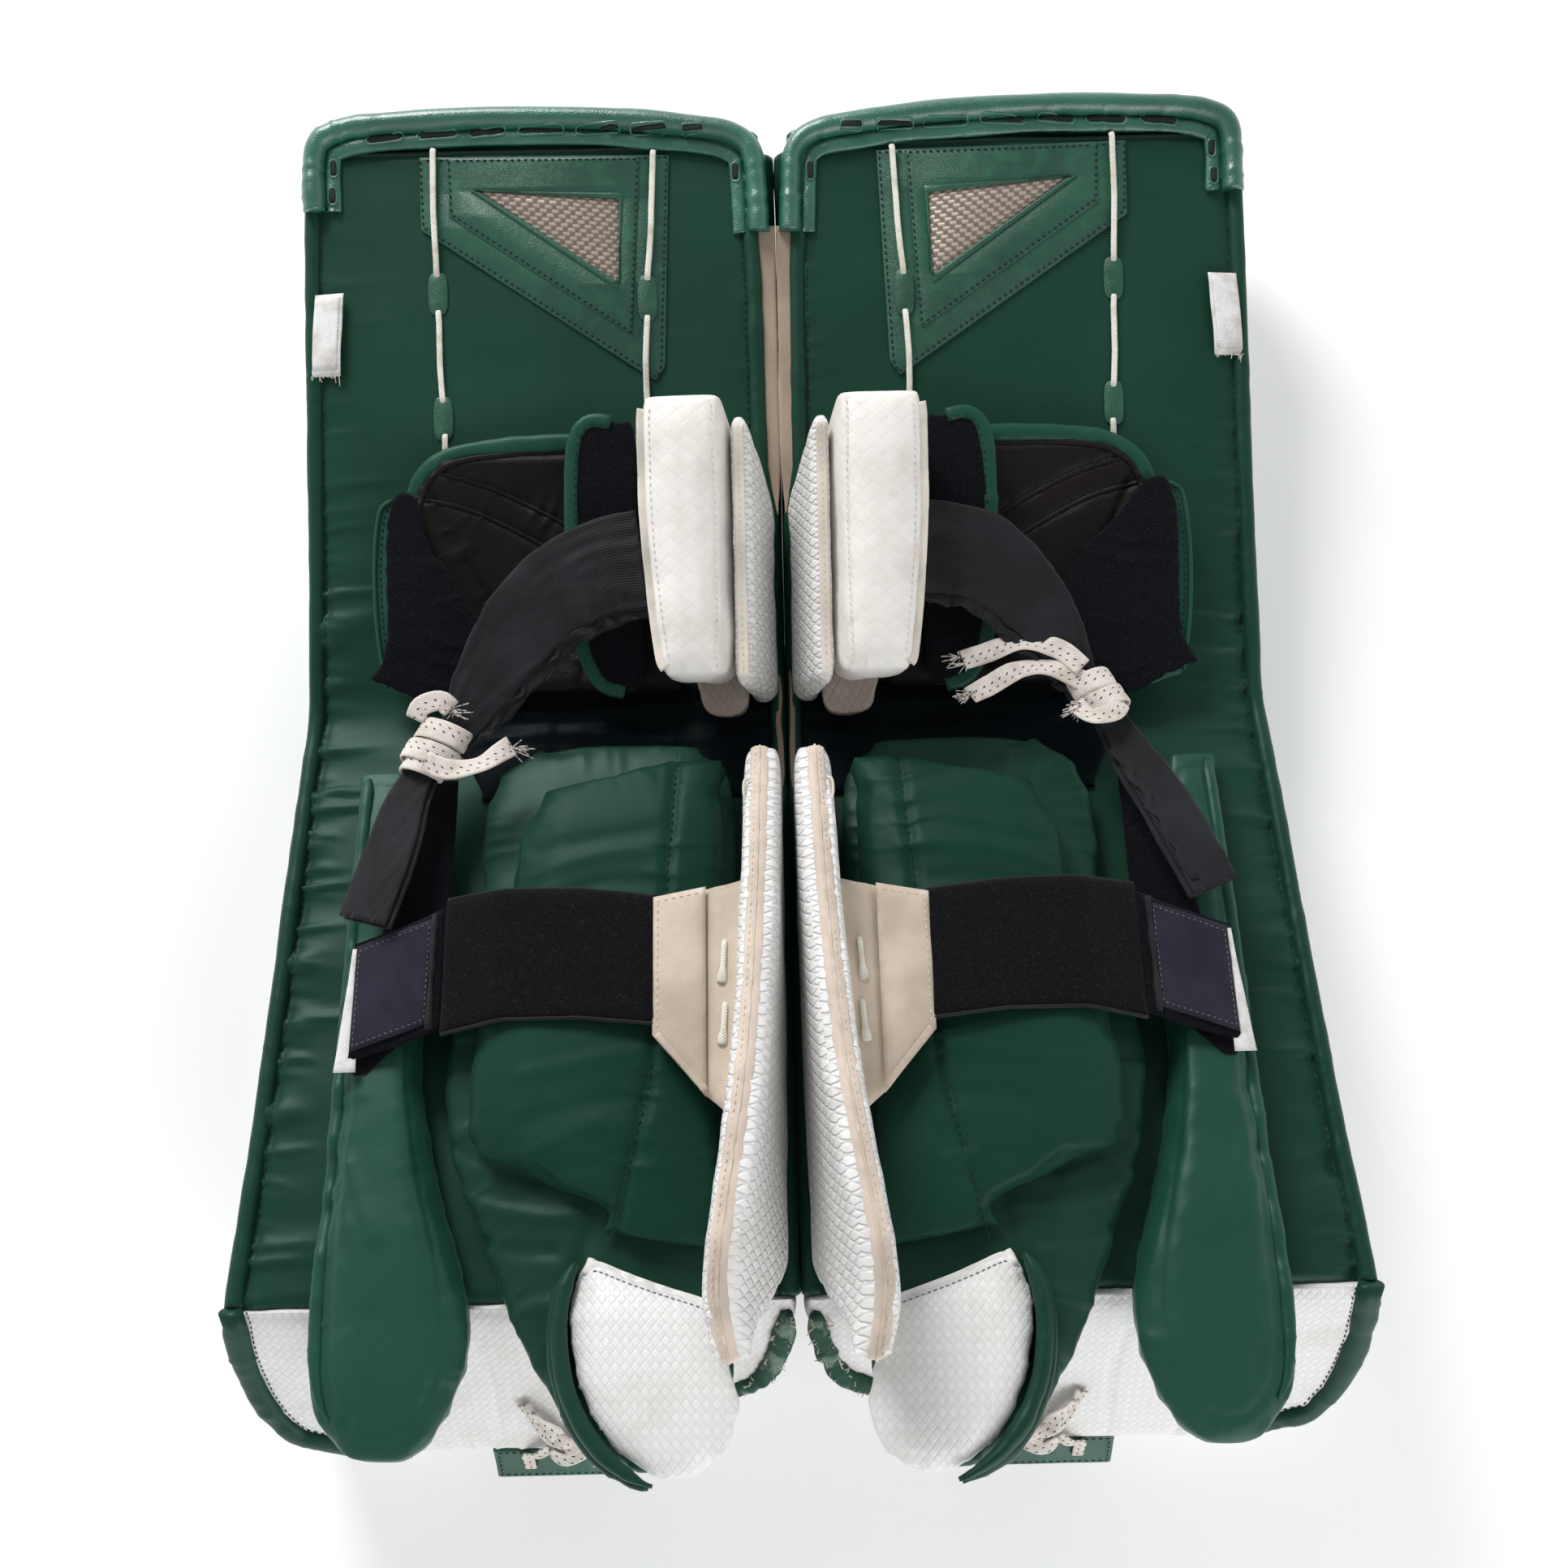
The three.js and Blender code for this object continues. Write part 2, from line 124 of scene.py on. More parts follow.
def curve(points, step=3.0, closed=False, sharp=False):
    """An even polyline through control points: a smooth Catmull-Rom curve, or straight lines."""
    p = np.asarray(points, float)
    if closed:
        p = np.vstack([p, p[:1]])
    if not sharp:
        before = p[-2] if closed else 2 * p[0] - p[1]
        after = p[1] if closed else 2 * p[-1] - p[-2]
        q = np.vstack([before, p, after])
        u = np.linspace(0, 1, 16, endpoint=False)[:, None]
        parts = []
        for a, b, c, d in zip(q, q[1:], q[2:], q[3:]):
            parts.append(0.5 * (2 * b + (c - a) * u + (2 * a - 5 * b + 4 * c - d) * u ** 2
                                + (3 * b - a - 3 * c + d) * u ** 3))
        p = np.vstack(parts + [p[-1:]])
    return even(p, step, closed)


def even(p, step, closed=False):
    """Resamples a polyline at even distances. A closed one doesn't repeat its first point."""
    lengths = np.r_[0, np.cumsum(np.linalg.norm(np.diff(p, axis=0), axis=1))]
    count = max(3, int(round(lengths[-1] / step)))
    at = np.linspace(0, lengths[-1], count + 1)
    out = np.c_[tuple(np.interp(at, lengths, p[:, k]) for k in range(p.shape[1]))]
    return out[:-1] if closed else out


def closed_loop(points, step):
    """A closed loop through points, at even distances."""
    points = np.asarray(points, float)
    return even(np.vstack([points, points[:1]]), step, True)


def at_height(points, h):
    """A flat path of (x, s) points, lifted to a height."""
    return np.c_[points, np.full(len(points), h)]


def rounded(p, rounds=2):
    """A closed loop with its corners smoothed."""
    for _ in range(rounds):
        p = 0.25 * np.roll(p, 1, 0) + 0.5 * p + 0.25 * np.roll(p, -1, 0)
    return p


def solid_of(node):
    """A CAD node's vertices in metres, with doubled ones merged, and its faces."""
    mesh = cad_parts[node].data
    co = np.array([v.co for v in mesh.vertices])
    keys, index = np.unique(np.round(co, 6), axis=0, return_inverse=True)
    index = index.ravel()
    faces = [tuple(index[list(p.vertices)].tolist()) for p in mesh.polygons]
    return keys, [f for f in faces if len(set(f)) == len(f)]


def rim(node, section, axis=2, sign=1, step=3.0, smoothing=2):
    """The edge of the face of a CAD solid that looks along an axis of its section, as a loop."""
    v, faces = solid_of(node)
    v = section.local(v)
    open_edges = {}
    for f in faces:
        a, b, c = v[list(f[:3])]
        n = np.cross(b - a, c - a)
        n = n / max(np.linalg.norm(n), 1e-12)
        # section axes (x, s, h) are left-handed, so the facing sign turns round
        if -n[axis] * sign < 0.6:
            continue
        for i, j in zip(f, f[1:] + f[:1]):
            if (j, i) in open_edges:
                del open_edges[(j, i)]
            else:
                open_edges[(i, j)] = True
    following = {i: j for i, j in open_edges}
    loops = []
    while following:
        start, at = next(iter(following.items()))
        loop = [start]
        del following[start]
        while at != start and at in following:
            loop.append(at)
            at = following.pop(at)
        loops.append(v[loop])
    best = max(loops, key=lambda p: np.linalg.norm(np.diff(p, axis=0), axis=1).sum())
    return rounded(closed_loop(best, step), smoothing)


def inset(loop, distance, plane=(0, 1)):
    """A closed loop moved inwards in its plane."""
    a, b = plane
    t = np.roll(loop, -1, 0) - np.roll(loop, 1, 0)
    n = np.zeros_like(loop)
    n[:, a] = -t[:, b]
    n[:, b] = t[:, a]
    n /= np.maximum(np.linalg.norm(n, axis=1), 1e-9)[:, None]
    area = np.sum(loop[:, a] * np.roll(loop[:, b], -1) - np.roll(loop[:, a], -1) * loop[:, b])
    return loop + n * distance * (1 if area > 0 else -1)


def part_of(loop, keep):
    """The longest run of a closed loop's points for which keep is true."""
    ok = np.array([bool(keep(p)) for p in loop])
    if ok.all():
        return loop
    start = int(np.argmin(ok))
    order = np.r_[start:len(loop), 0:start]
    runs, run = [], []
    for i in order:
        if ok[i]:
            run.append(i)
        elif run:
            runs.append(run)
            run = []
    runs.append(run)
    return loop[max(runs, key=len)]


# ---------------------------------------------------------------- meshes

class Shape:
    """Vertices, faces and one surface coordinate (millimetres) for each vertex or face corner."""

    def __init__(self, v, f, uv=None):
        self.v = np.asarray(v, float)
        self.f = [tuple(int(i) for i in face) for face in f]
        self.uv = uv

    def copy(self):
        return Shape(self.v.copy(), list(self.f), None if self.uv is None else self.uv.copy())

    def normals(self):
        """A unit normal for each vertex."""
        n = np.zeros_like(self.v)
        for size in (3, 4):
            q = np.array([f for f in self.f if len(f) == size])
            if len(q) == 0:
                continue
            a, b, c = self.v[q[:, 0]], self.v[q[:, 1]], self.v[q[:, 2]]
            d = self.v[q[:, 3]] if size == 4 else a
            face = np.cross(c - a, (d - b) if size == 4 else (b - a) * -1)
            for k in range(size):
                np.add.at(n, q[:, k], face)
        return n / np.maximum(np.linalg.norm(n, axis=1), 1e-12)[:, None]

    def outward(self):
        """Unit normals that point out of the solid, whichever way the faces run."""
        n = self.normals()
        centre = self.v.mean(0)
        return n if np.sum(n * (self.v - centre)) > 0 else -n

    def push(self, amount):
        """Moves each vertex outwards by its amount."""
        self.v += self.outward() * np.asarray(amount).reshape(-1, 1)
        return self

    def tree(self):
        """The shape as a tree that rays can be cast at."""
        return BVHTree.FromPolygons([tuple(p) for p in self.v], self.f)


def joined(shapes):
    """Several shapes as one."""
    v, f, uv, base = [], [], [], 0
    for s in shapes:
        v.append(s.v)
        f += [tuple(i + base for i in face) for face in s.f]
        uv.append(s.uv if s.uv is not None else np.zeros((len(s.v), 2)))
        base += len(s.v)
    return Shape(np.vstack(v), f, np.vstack(uv))


def grid(points, uv, wrap=False):
    """A sheet of quads from an array of points (rows, columns, 3). wrap closes the columns."""
    rows, columns = points.shape[:2]
    faces = []
    for i in range(rows - 1):
        for j in range(columns if wrap else columns - 1):
            k = (j + 1) % columns
            faces.append((i * columns + j, i * columns + k,
                          (i + 1) * columns + k, (i + 1) * columns + j))
    return Shape(points.reshape(-1, 3), faces, uv.reshape(-1, 2))


def capped(shape, ring_size):
    """Closes both ends of a tube of rings with a fan."""
    for end in (0, len(shape.v) // ring_size - 1):
        ring = shape.v[end * ring_size:(end + 1) * ring_size]
        shape.v = np.vstack([shape.v, ring.mean(0)])
        shape.uv = np.vstack([shape.uv, shape.uv[end * ring_size]])
        c = len(shape.v) - 1
        for j in range(ring_size):
            a, b = end * ring_size + j, end * ring_size + (j + 1) % ring_size
            shape.f.append((a, c, b) if end == 0 else (b, c, a))
    return shape


def sweep(path, profile, up=(0, 0, 1), closed=False, width=None, height=None, tilt=None):
    """A profile of (across, up) points carried along a path, with closed ends."""
    path = np.asarray(path, float)
    n = len(path)
    if closed:
        t = np.roll(path, -1, 0) - np.roll(path, 1, 0)
    else:
        t = np.gradient(path, axis=0)
    t /= np.maximum(np.linalg.norm(t, axis=1), 1e-9)[:, None]
    u = np.broadcast_to(np.asarray(up, float), path.shape).copy()
    u -= t * np.sum(u * t, axis=1)[:, None]
    u /= np.maximum(np.linalg.norm(u, axis=1), 1e-9)[:, None]
    side = np.cross(t, u)
    if tilt is not None:
        c, s = np.cos(tilt)[:, None], np.sin(tilt)[:, None]
        u, side = u * c - side * s, side * c + u * s
    w = np.ones(n) if width is None else np.asarray(width, float)
    k = w if height is None else np.asarray(height, float)
    profile = np.asarray(profile, float)
    points = (path[:, None] + side[:, None] * (profile[None, :, :1] * w[:, None, None])
              + u[:, None] * (profile[None, :, 1:] * k[:, None, None]))
    along = np.r_[0, np.cumsum(np.linalg.norm(np.diff(path, axis=0), axis=1))]
    around = np.broadcast_to(profile[None, :, 0] * w[:, None], (n, len(profile)))
    uv = np.dstack([np.broadcast_to(along[:, None], around.shape), around])
    shape = grid(points, uv, wrap=True)
    m = len(profile)
    if closed:
        shape.f += [((n - 1) * m + j, (n - 1) * m + (j + 1) % m, (j + 1) % m, j) for j in range(m)]
        return shape
    return capped(shape, m)


def oval(width, height, count=12, power=1.0):
    """A round, or flatter and boxier, profile."""
    a = np.arange(count) * 2 * math.pi / count
    c, s = np.cos(a), np.sin(a)
    return np.c_[np.sign(c) * np.abs(c) ** power * width / 2,
                 np.sign(s) * np.abs(s) ** power * height / 2]


def band(width, thickness, count=10):
    """A flat strap's profile, from its underside up, with rounded edges."""
    x = np.linspace(-width / 2, width / 2, count)
    edge = thickness * 0.35
    lower = np.c_[x, np.where(np.abs(x) > width / 2 - 0.01, edge, 0)]
    upper = np.c_[x[::-1], np.where(np.abs(x[::-1]) > width / 2 - 0.01, thickness - edge, thickness)]
    return np.vstack([lower, upper])


def nearest(v, path, closed=False):
    """The distance of each vertex from a path, and how far along the path its nearest point is."""
    fine = even(np.vstack([path, path[:1]]) if closed else path, 1.5)
    distance = np.empty(len(v))
    along = np.empty(len(v))
    for i in range(0, len(v), 4000):
        gap = np.linalg.norm(v[i:i + 4000, None] - fine[None], axis=2)
        at = gap.argmin(1)
        distance[i:i + 4000] = gap[np.arange(len(at)), at]
        along[i:i + 4000] = at * 1.5
    return distance, along


def part_way(value, start, end):
    """0 up to start, 1 from end on, and an even slope between. end may be the lower one."""
    return np.clip((value - start) / (end - start), 0, 1)


def smooth_noise(at, seed):
    """Soft random values between -1 and 1, one hill or hollow to each unit of at."""
    values = np.random.default_rng(seed).uniform(-1, 1, 4096)
    whole = np.floor(at).astype(int)
    part = at - whole
    part = part * part * (3 - 2 * part)
    return values[whole % 4096] * (1 - part) + values[(whole + 1) % 4096] * part


def pucker(shape, path, height, reach, spacing, seed, closed=False, slant=0.15, mask=None):
    """Pull folds that run away from a seam: ridges across it that fade with distance."""
    d, t = nearest(shape.v, path, closed)
    at = (t + slant * d) / spacing + 40
    crest = np.exp(-(smooth_noise(at, seed) / 0.24) ** 2)
    ridge = 1.25 * crest - 0.5 + 0.5 * smooth_noise(at * 0.6, seed + 1)
    length = reach * (0.7 + 0.5 * smooth_noise(t / (spacing * 1.3) + 9, seed + 2))
    amount = height * ridge * np.exp(-(d / np.maximum(length, 2)) ** 1.8)
    if mask is not None:
        amount = amount * mask(shape.v)
    return shape.push(amount)


def groove(shape, path, depth, width, closed=False, mask=None):
    """A sewn line that draws the surface in."""
    d, _ = nearest(shape.v, path, closed)
    amount = -depth * np.exp(-(d / width) ** 2)
    if mask is not None:
        amount = amount * mask(shape.v)
    return shape.push(amount)


def above(low, high):
    """A mask for pucker and groove: 0 up to one height, 1 from the next on."""
    return lambda v: part_way(v[:, 2], low, high)


def roughen(shape, height, size, seed):
    """Slow unevenness of a padded surface."""
    x, y, z = shape.v.T / size
    wave = smooth_noise(x + 0.6 * y + 50, seed) * smooth_noise(y - 0.4 * x + z + 50, seed + 1)
    wave = wave + 0.5 * smooth_noise(1.7 * y + 0.8 * z + 90, seed + 2)
    return shape.push(height * wave)


def drape(path, shape, lift=0.0, axis=(0, 0, 1), reach=200.0):
    """A path dropped onto a shape along an axis. Points that miss it keep their place."""
    tree = shape.tree()
    axis = np.asarray(axis, float)
    out = []
    for p in path:
        origin = p + axis * reach
        hit = tree.ray_cast(Vector(origin), Vector(-axis))[0]
        out.append(np.array(hit) + axis * lift if hit is not None else None)
    known = [i for i, p in enumerate(out) if p is not None]
    if not known:
        return np.asarray(path, float)
    for i, p in enumerate(out):
        if p is None:
            near = min(known, key=lambda k: abs(k - i))
            out[i] = path[i] + axis * np.dot(out[near] - path[near], axis)
    return np.array(out)


def stitches(path, length=3.2, gap=1.6, radius=0.45, closed=False, up=(0, 0, 1), lift=0.15):
    """Thread: one short rounded stitch after another along a path."""
    path = even(np.vstack([path, path[:1]]) if closed else np.asarray(path, float), 0.8)
    step = 0.8
    stride = max(2, int(round((length + gap) / step)))
    count = max(2, int(round(length / step)))
    shapes = []
    for i in range(0, len(path) - count - 1, stride):
        piece_path = path[i:i + count + 1].copy()
        share = np.linspace(-1, 1, len(piece_path))
        piece_path += np.asarray(up, float) * (lift - 0.5 * radius * share[:, None] ** 4)
        taper = np.sqrt(np.clip(1.05 - share ** 4, 0.05, 1))
        shapes.append(sweep(piece_path, oval(2 * radius, 2 * radius, 6), up=up, width=taper))
    return joined(shapes)


def new_object(name, v, faces):
    """A new object of the scene with a mesh of these vertices and faces."""
    mesh = bpy.data.meshes.new(name)
    mesh.from_pydata([tuple(p) for p in v], [], faces)
    obj = bpy.data.objects.new(name, mesh)
    bpy.context.scene.collection.objects.link(obj)
    return obj


def mesh_data(mesh):
    """A mesh's vertices and faces."""
    v = np.empty(len(mesh.vertices) * 3)
    mesh.vertices.foreach_get("co", v)
    return v.reshape(-1, 3), [tuple(p.vertices) for p in mesh.polygons]


def applied(obj):
    """The object's mesh with its modifiers applied."""
    graph = bpy.context.evaluated_depsgraph_get()
    mesh = bpy.data.meshes.new_from_object(obj.evaluated_get(graph))
    old = obj.data
    obj.modifiers.clear()
    obj.data = mesh
    bpy.data.meshes.remove(old)
    return mesh


SWELL_FRAMES = 20
puffed_solids = {}


def swollen(obj, start, pressure, cap, growth):
    """A mesh's vertices after a cloth simulation, none of them further than cap from its start."""
    cloth = obj.modifiers.new("cloth", "CLOTH")
    settings = cloth.settings
    settings.quality = 5
    settings.mass = 0.3
    settings.tension_stiffness = 15
    settings.compression_stiffness = 15
    settings.shear_stiffness = 5
    settings.bending_stiffness = 0.5
    settings.use_pressure = True
    settings.uniform_pressure_force = pressure
    settings.shrink_min = -growth
    settings.effector_weights.gravity = 0
    cloth.collision_settings.use_collision = False
    cloth.point_cache.frame_start = 1
    cloth.point_cache.frame_end = SWELL_FRAMES
    for number in range(1, SWELL_FRAMES + 1):
        bpy.context.scene.frame_set(number)
    end, _ = mesh_data(applied(obj))
    bpy.context.scene.frame_set(1)
    move = end - start
    far = np.linalg.norm(move, axis=1)
    move *= (np.minimum(far, cap * MM) / np.maximum(far, 1e-12))[:, None]
    return start + move


def remeshed(v, faces, voxel):
    """A new object with an even mesh of voxel's size."""
    obj = new_object("padding", v, faces)
    remesh = obj.modifiers.new("remesh", "REMESH")
    remesh.mode = "VOXEL"
    remesh.voxel_size = voxel
    return obj


def puffed(node, section, voxel=4.0, pressure=4.0, cap=5.0, shrink=1.0, growth=0.0, smoothing=2):
    """A CAD soft solid swollen into padding by a cloth simulation, as a Shape in its section.

    The result fills the solid's box across and along the pad. A solid is simulated once and
    serves both pads.
    """
    if node in puffed_solids:
        return puffed_solids[node].copy()
    solid, faces = solid_of(node)
    obj = remeshed(solid, faces, voxel * MM)
    v, faces = mesh_data(applied(obj))
    normal = Shape(v, faces).outward()
    start = v - normal * shrink * MM
    obj.data.vertices.foreach_set("co", start.ravel())
    obj.data.update()
    end = swollen(obj, start, pressure, cap, growth)
    obj.data.vertices.foreach_set("co", end.ravel())
    obj.data.update()
    relax = obj.modifiers.new("relax", "SMOOTH")
    relax.iterations = smoothing
    relax.factor = 0.5
    finer = obj.modifiers.new("finer", "SUBSURF")
    finer.levels = finer.render_levels = 1
    v, faces = mesh_data(applied(obj))
    bpy.data.objects.remove(obj)
    v = section.local(v)
    solid = section.local(solid)
    for axis in (0, 1):
        low, high = v[:, axis].min(), v[:, axis].max()
        room = solid[:, axis].min(), solid[:, axis].max()
        v[:, axis] = room[0] + (v[:, axis] - low) * (room[1] - room[0]) / (high - low)
    # section axes are left-handed, so the faces turn round
    puffed_solids[node] = Shape(v, [f[::-1] for f in faces])
    return puffed_solids[node].copy()


def surface_uv(shape):
    """Surface coordinates for a shape without its own: flat from the side each face looks to."""
    main = np.abs(shape.normals())
    corners = []
    for f in shape.f:
        axis = int(np.argmax(main[list(f)].sum(0)))
        a, b = ((1, 2), (0, 2), (1, 0))[axis]
        corners.append(shape.v[list(f)][:, [a, b]])
    return corners


def mirrored_for(side, points):
    """World points of the left pad, moved to their place on a side's pad."""
    if side == "right":
        points[:, 0] *= -1
    return points


def piece(side, section, body, name, shape, look, *nodes, slot=None, blend=None):
    """Puts a shape into the scene on its pad, with its finish and the body it rides on.

    The piece stands for the CAD nodes given. blend holds another body and two points; with a blend,
    the piece is only moved into world space and is attached to no body.
    """
    # a section's axes are left-handed, so the left pad's faces turn round
    turned = side == "left"
    faces = [f[::-1] for f in shape.f] if turned else shape.f
    if shape.uv is None:
        uv = np.vstack([block[::-1] if turned else block for block in surface_uv(shape)])
    else:
        uv = shape.uv[[i for f in faces for i in f]]
    obj = new_object(name, mirrored_for(side, section.world(shape.v)), faces)
    obj.name = f"{side}_{name}"
    mesh = obj.data
    mesh.uv_layers.new(name="surface").data.foreach_set("uv", (uv * MM).ravel())
    mesh.update()
    check = bmesh.new()
    check.from_mesh(mesh)
    if check.calc_volume(signed=True) < 0:
        bmesh.ops.reverse_faces(check, faces=check.faces)
        check.to_mesh(mesh)
    check.free()
    mesh.polygons.foreach_set("use_smooth", [True] * len(mesh.polygons))
    mesh.materials.append(looks[look])
    if blend:
        other, start, end = blend
        start, end = mirrored_for(side, section.world([start, end]))
        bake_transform(obj)
    else:
        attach(obj, f"{side}_{body}")
    if nodes:
        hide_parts(*[f"{side}_{node}" for node in nodes])
    slot = slot or SLOT_OF.get(look)
    return obj


def placer(side, section, body):
    """Calls piece for pieces of one section and one body."""
    return partial(piece, side, section, body)


def crumple(obj):
    """Gives a soft piece a mesh of its own."""
    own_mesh(obj)


# ---------------------------------------------------------------- finishes

GREEN = (0.0082, 0.0405, 0.0245)
WHITE = (0.81, 0.805, 0.79)


class Look:
    """A procedural material. Lengths are millimetres; sockets are passed as inputs."""

    def __init__(self, name, roughness, specular):
        self.material = bpy.data.materials.new(name)
        self.material.use_nodes = True
        self.tree = self.material.node_tree
        self.shader = self.tree.nodes["Principled BSDF"]
        coordinates = self.node("ShaderNodeTexCoord")
        self.place = self.scaled(coordinates.outputs["Object"], 1 / MM)
        self.surface = self.scaled(coordinates.outputs["UV"], 1 / MM)
        parts = self.node("ShaderNodeSeparateXYZ", Vector=self.surface)
        self.u = parts.outputs[0]
        self.v = parts.outputs[1]
        self.normal = None
        self.set("Roughness", roughness)
        self.set("Specular IOR Level", specular)

    def node(self, kind, props=None, **inputs):
        """A new node with its properties and inputs set."""
        made = self.tree.nodes.new(kind)
        for key, value in (props or {}).items():
            setattr(made, key, value)
        for key, value in inputs.items():
            self.feed(made.inputs[key.replace("_", " ")], value)
        return made

    def feed(self, socket, value):
        """Links an output to a socket, or sets the socket's value."""
        if isinstance(value, bpy.types.NodeSocket):
            self.tree.links.new(value, socket)
        elif hasattr(socket.default_value, "__len__") and len(socket.default_value) == 4:
            socket.default_value = (*value[:3], 1.0)
        else:
            socket.default_value = value

    def set(self, name, value):
        """Feeds one of the main shader's inputs."""
        self.feed(self.shader.inputs[name], value)

    def scaled(self, vector, amount):
        """A vector times a number, or times one number for each axis."""
        if not hasattr(amount, "__len__"):
            amount = (amount,) * 3
        made = self.tree.nodes.new("ShaderNodeVectorMath")
        made.operation = "MULTIPLY"
        self.tree.links.new(vector, made.inputs[0])
        made.inputs[1].default_value = amount
        return made.outputs[0]

    def math(self, operation, a, b=0.0, c=0.0):
        """The result of a math node."""
        made = self.tree.nodes.new("ShaderNodeMath")
        made.operation = operation
        for socket, value in zip(made.inputs, (a, b, c)):
            self.feed(socket, value)
        return made.outputs[0]

    def noise(self, size, detail=2.0, roughness=0.5, stretch=(1, 1, 1)):
        """Random values from 0 to 1 whose hills are size millimetres wide."""
        vector = self.scaled(self.place, tuple(k / size for k in stretch))
        made = self.node("ShaderNodeTexNoise", Vector=vector, Scale=1.0, Detail=detail,
                         Roughness=roughness)
        return made.outputs[0]

    def cells(self, size):
        """The distance from the nearest border between random cells."""
        vector = self.scaled(self.place, 1 / size)
        made = self.node("ShaderNodeTexVoronoi", {"feature": "DISTANCE_TO_EDGE"}, Vector=vector,
                         Scale=1.0)
        return made.outputs[0]

    def sine(self, coordinate, pitch):
        """A wave from -1 to 1 along a coordinate."""
        turned = self.math("MULTIPLY", coordinate, 2 * math.pi / pitch)
        return self.math("SINE", turned)

    def diagonal(self, angle):
        """The surface coordinate along a direction turned by an angle in degrees."""
        c, s = math.cos(math.radians(angle)), math.sin(math.radians(angle))
        return self.math("ADD", self.math("MULTIPLY", self.u, c), self.math("MULTIPLY", self.v, s))

    def ramp(self, value, low, high):
        """0 at low, 1 at high, smooth between."""
        made = self.node("ShaderNodeMapRange", {"interpolation_type": "SMOOTHSTEP"}, Value=value)
        made.inputs[1].default_value = low
        made.inputs[2].default_value = high
        return made.outputs[0]

    def mix(self, share, a, b):
        """Colour a where share is 0, colour b where it is 1."""
        made = self.tree.nodes.new("ShaderNodeMix")
        made.data_type = "RGBA"
        self.feed(made.inputs[0], share)
        self.feed(made.inputs[6], a)
        self.feed(made.inputs[7], b)
        return made.outputs[2]

    def bump(self, height, distance, strength=1.0):
        """Adds relief of a height to what is there already."""
        made = self.node("ShaderNodeBump", Strength=strength, Distance=distance * MM,
                         Height=height)
        if self.normal is not None:
            self.tree.links.new(self.normal, made.inputs["Normal"])
        self.normal = made.outputs[0]
        self.set("Normal", self.normal)

    def edges(self, low=0.52, high=0.62):
        """1 on outer edges and ridges, where a surface wears."""
        geometry = self.node("ShaderNodeNewGeometry")
        return self.ramp(geometry.outputs["Pointiness"], low, high)


def shade(colour, amount):
    """A colour made darker or lighter."""
    return tuple(min(1.0, c * amount) for c in colour)


def nylon(name, colour, sheen=0.05, gloss=0.2):
    """Smooth woven nylon: a fine weave, a soft sheen and slow changes of tone."""
    look = Look(name, 0.5, gloss)
    slow = look.ramp(look.noise(90, 3), 0.25, 0.75)
    base = look.mix(slow, shade(colour, 0.9), shade(colour, 1.12))
    fine = look.noise(0.9, 2, 0.6)
    base = look.mix(look.math("MULTIPLY", fine, 0.3), base, shade(colour, 1.6))
    worn = look.math("MULTIPLY", look.edges(0.54, 0.66), look.ramp(look.noise(14, 3), 0.5, 0.75))
    base = look.mix(look.math("MULTIPLY", worn, 0.2), base, (0.12, 0.2, 0.16))
    look.set("Base Color", base)
    look.set("Sheen Weight", sheen)
    look.set("Sheen Roughness", 0.35)
    look.set("Sheen Tint", (0.5, 0.95, 0.8))
    look.set("Specular Tint", (0.75, 0.97, 0.88))
    look.set("Roughness", look.math("ADD", look.math("MULTIPLY", slow, 0.08), 0.34))
    threads = look.math("MULTIPLY", look.sine(look.u, 1.1), look.sine(look.v, 1.1))
    look.bump(threads, 0.06, 0.5)
    look.bump(look.noise(4, 3, 0.6, (0.5, 1.4, 1)), 0.16, 0.5)
    return look.material


def worn_nylon(name):
    """Green nylon rubbed through to pale threads in patches."""
    look = Look(name, 0.7, 0.3)
    slow = look.ramp(look.noise(18, 4, 0.65), 0.5, 0.62)
    base = look.mix(look.noise(5, 3), shade(GREEN, 0.8), shade(GREEN, 2.2))
    base = look.mix(look.math("MULTIPLY", slow, 0.5), base, (0.26, 0.34, 0.29))
    look.set("Base Color", base)
    look.bump(look.noise(2.2, 4, 0.7), 0.8, 0.8)
    return look.material


def leather(name, colour, roughness=0.36, grain=1.3, coat=0.15, gloss=0.4):
    """Synthetic leather: pebbled grain, fine creases, a light coat and rubbed ridges."""
    look = Look(name, roughness, gloss)
    slow = look.ramp(look.noise(45, 4), 0.3, 0.7)
    base = look.mix(slow, shade(colour, 0.8), shade(colour, 1.18))
    rubbed = look.math("MULTIPLY", look.edges(), look.ramp(look.noise(9, 4), 0.45, 0.7))
    base = look.mix(look.math("MULTIPLY", rubbed, 0.4), base, shade(colour, 2.6))
    look.set("Base Color", base)
    look.set("Coat Weight", coat)
    look.set("Coat Roughness", 0.3)
    look.set("Roughness", look.math("ADD", look.math("MULTIPLY", look.noise(5, 3), 0.22),
                                    roughness - 0.1))
    look.bump(look.ramp(look.cells(grain), 0.0, 0.25), 0.12, 0.6)
    look.bump(look.noise(7, 5, 0.6, (1, 1, 2)), 0.5, 0.45)
    return look.material


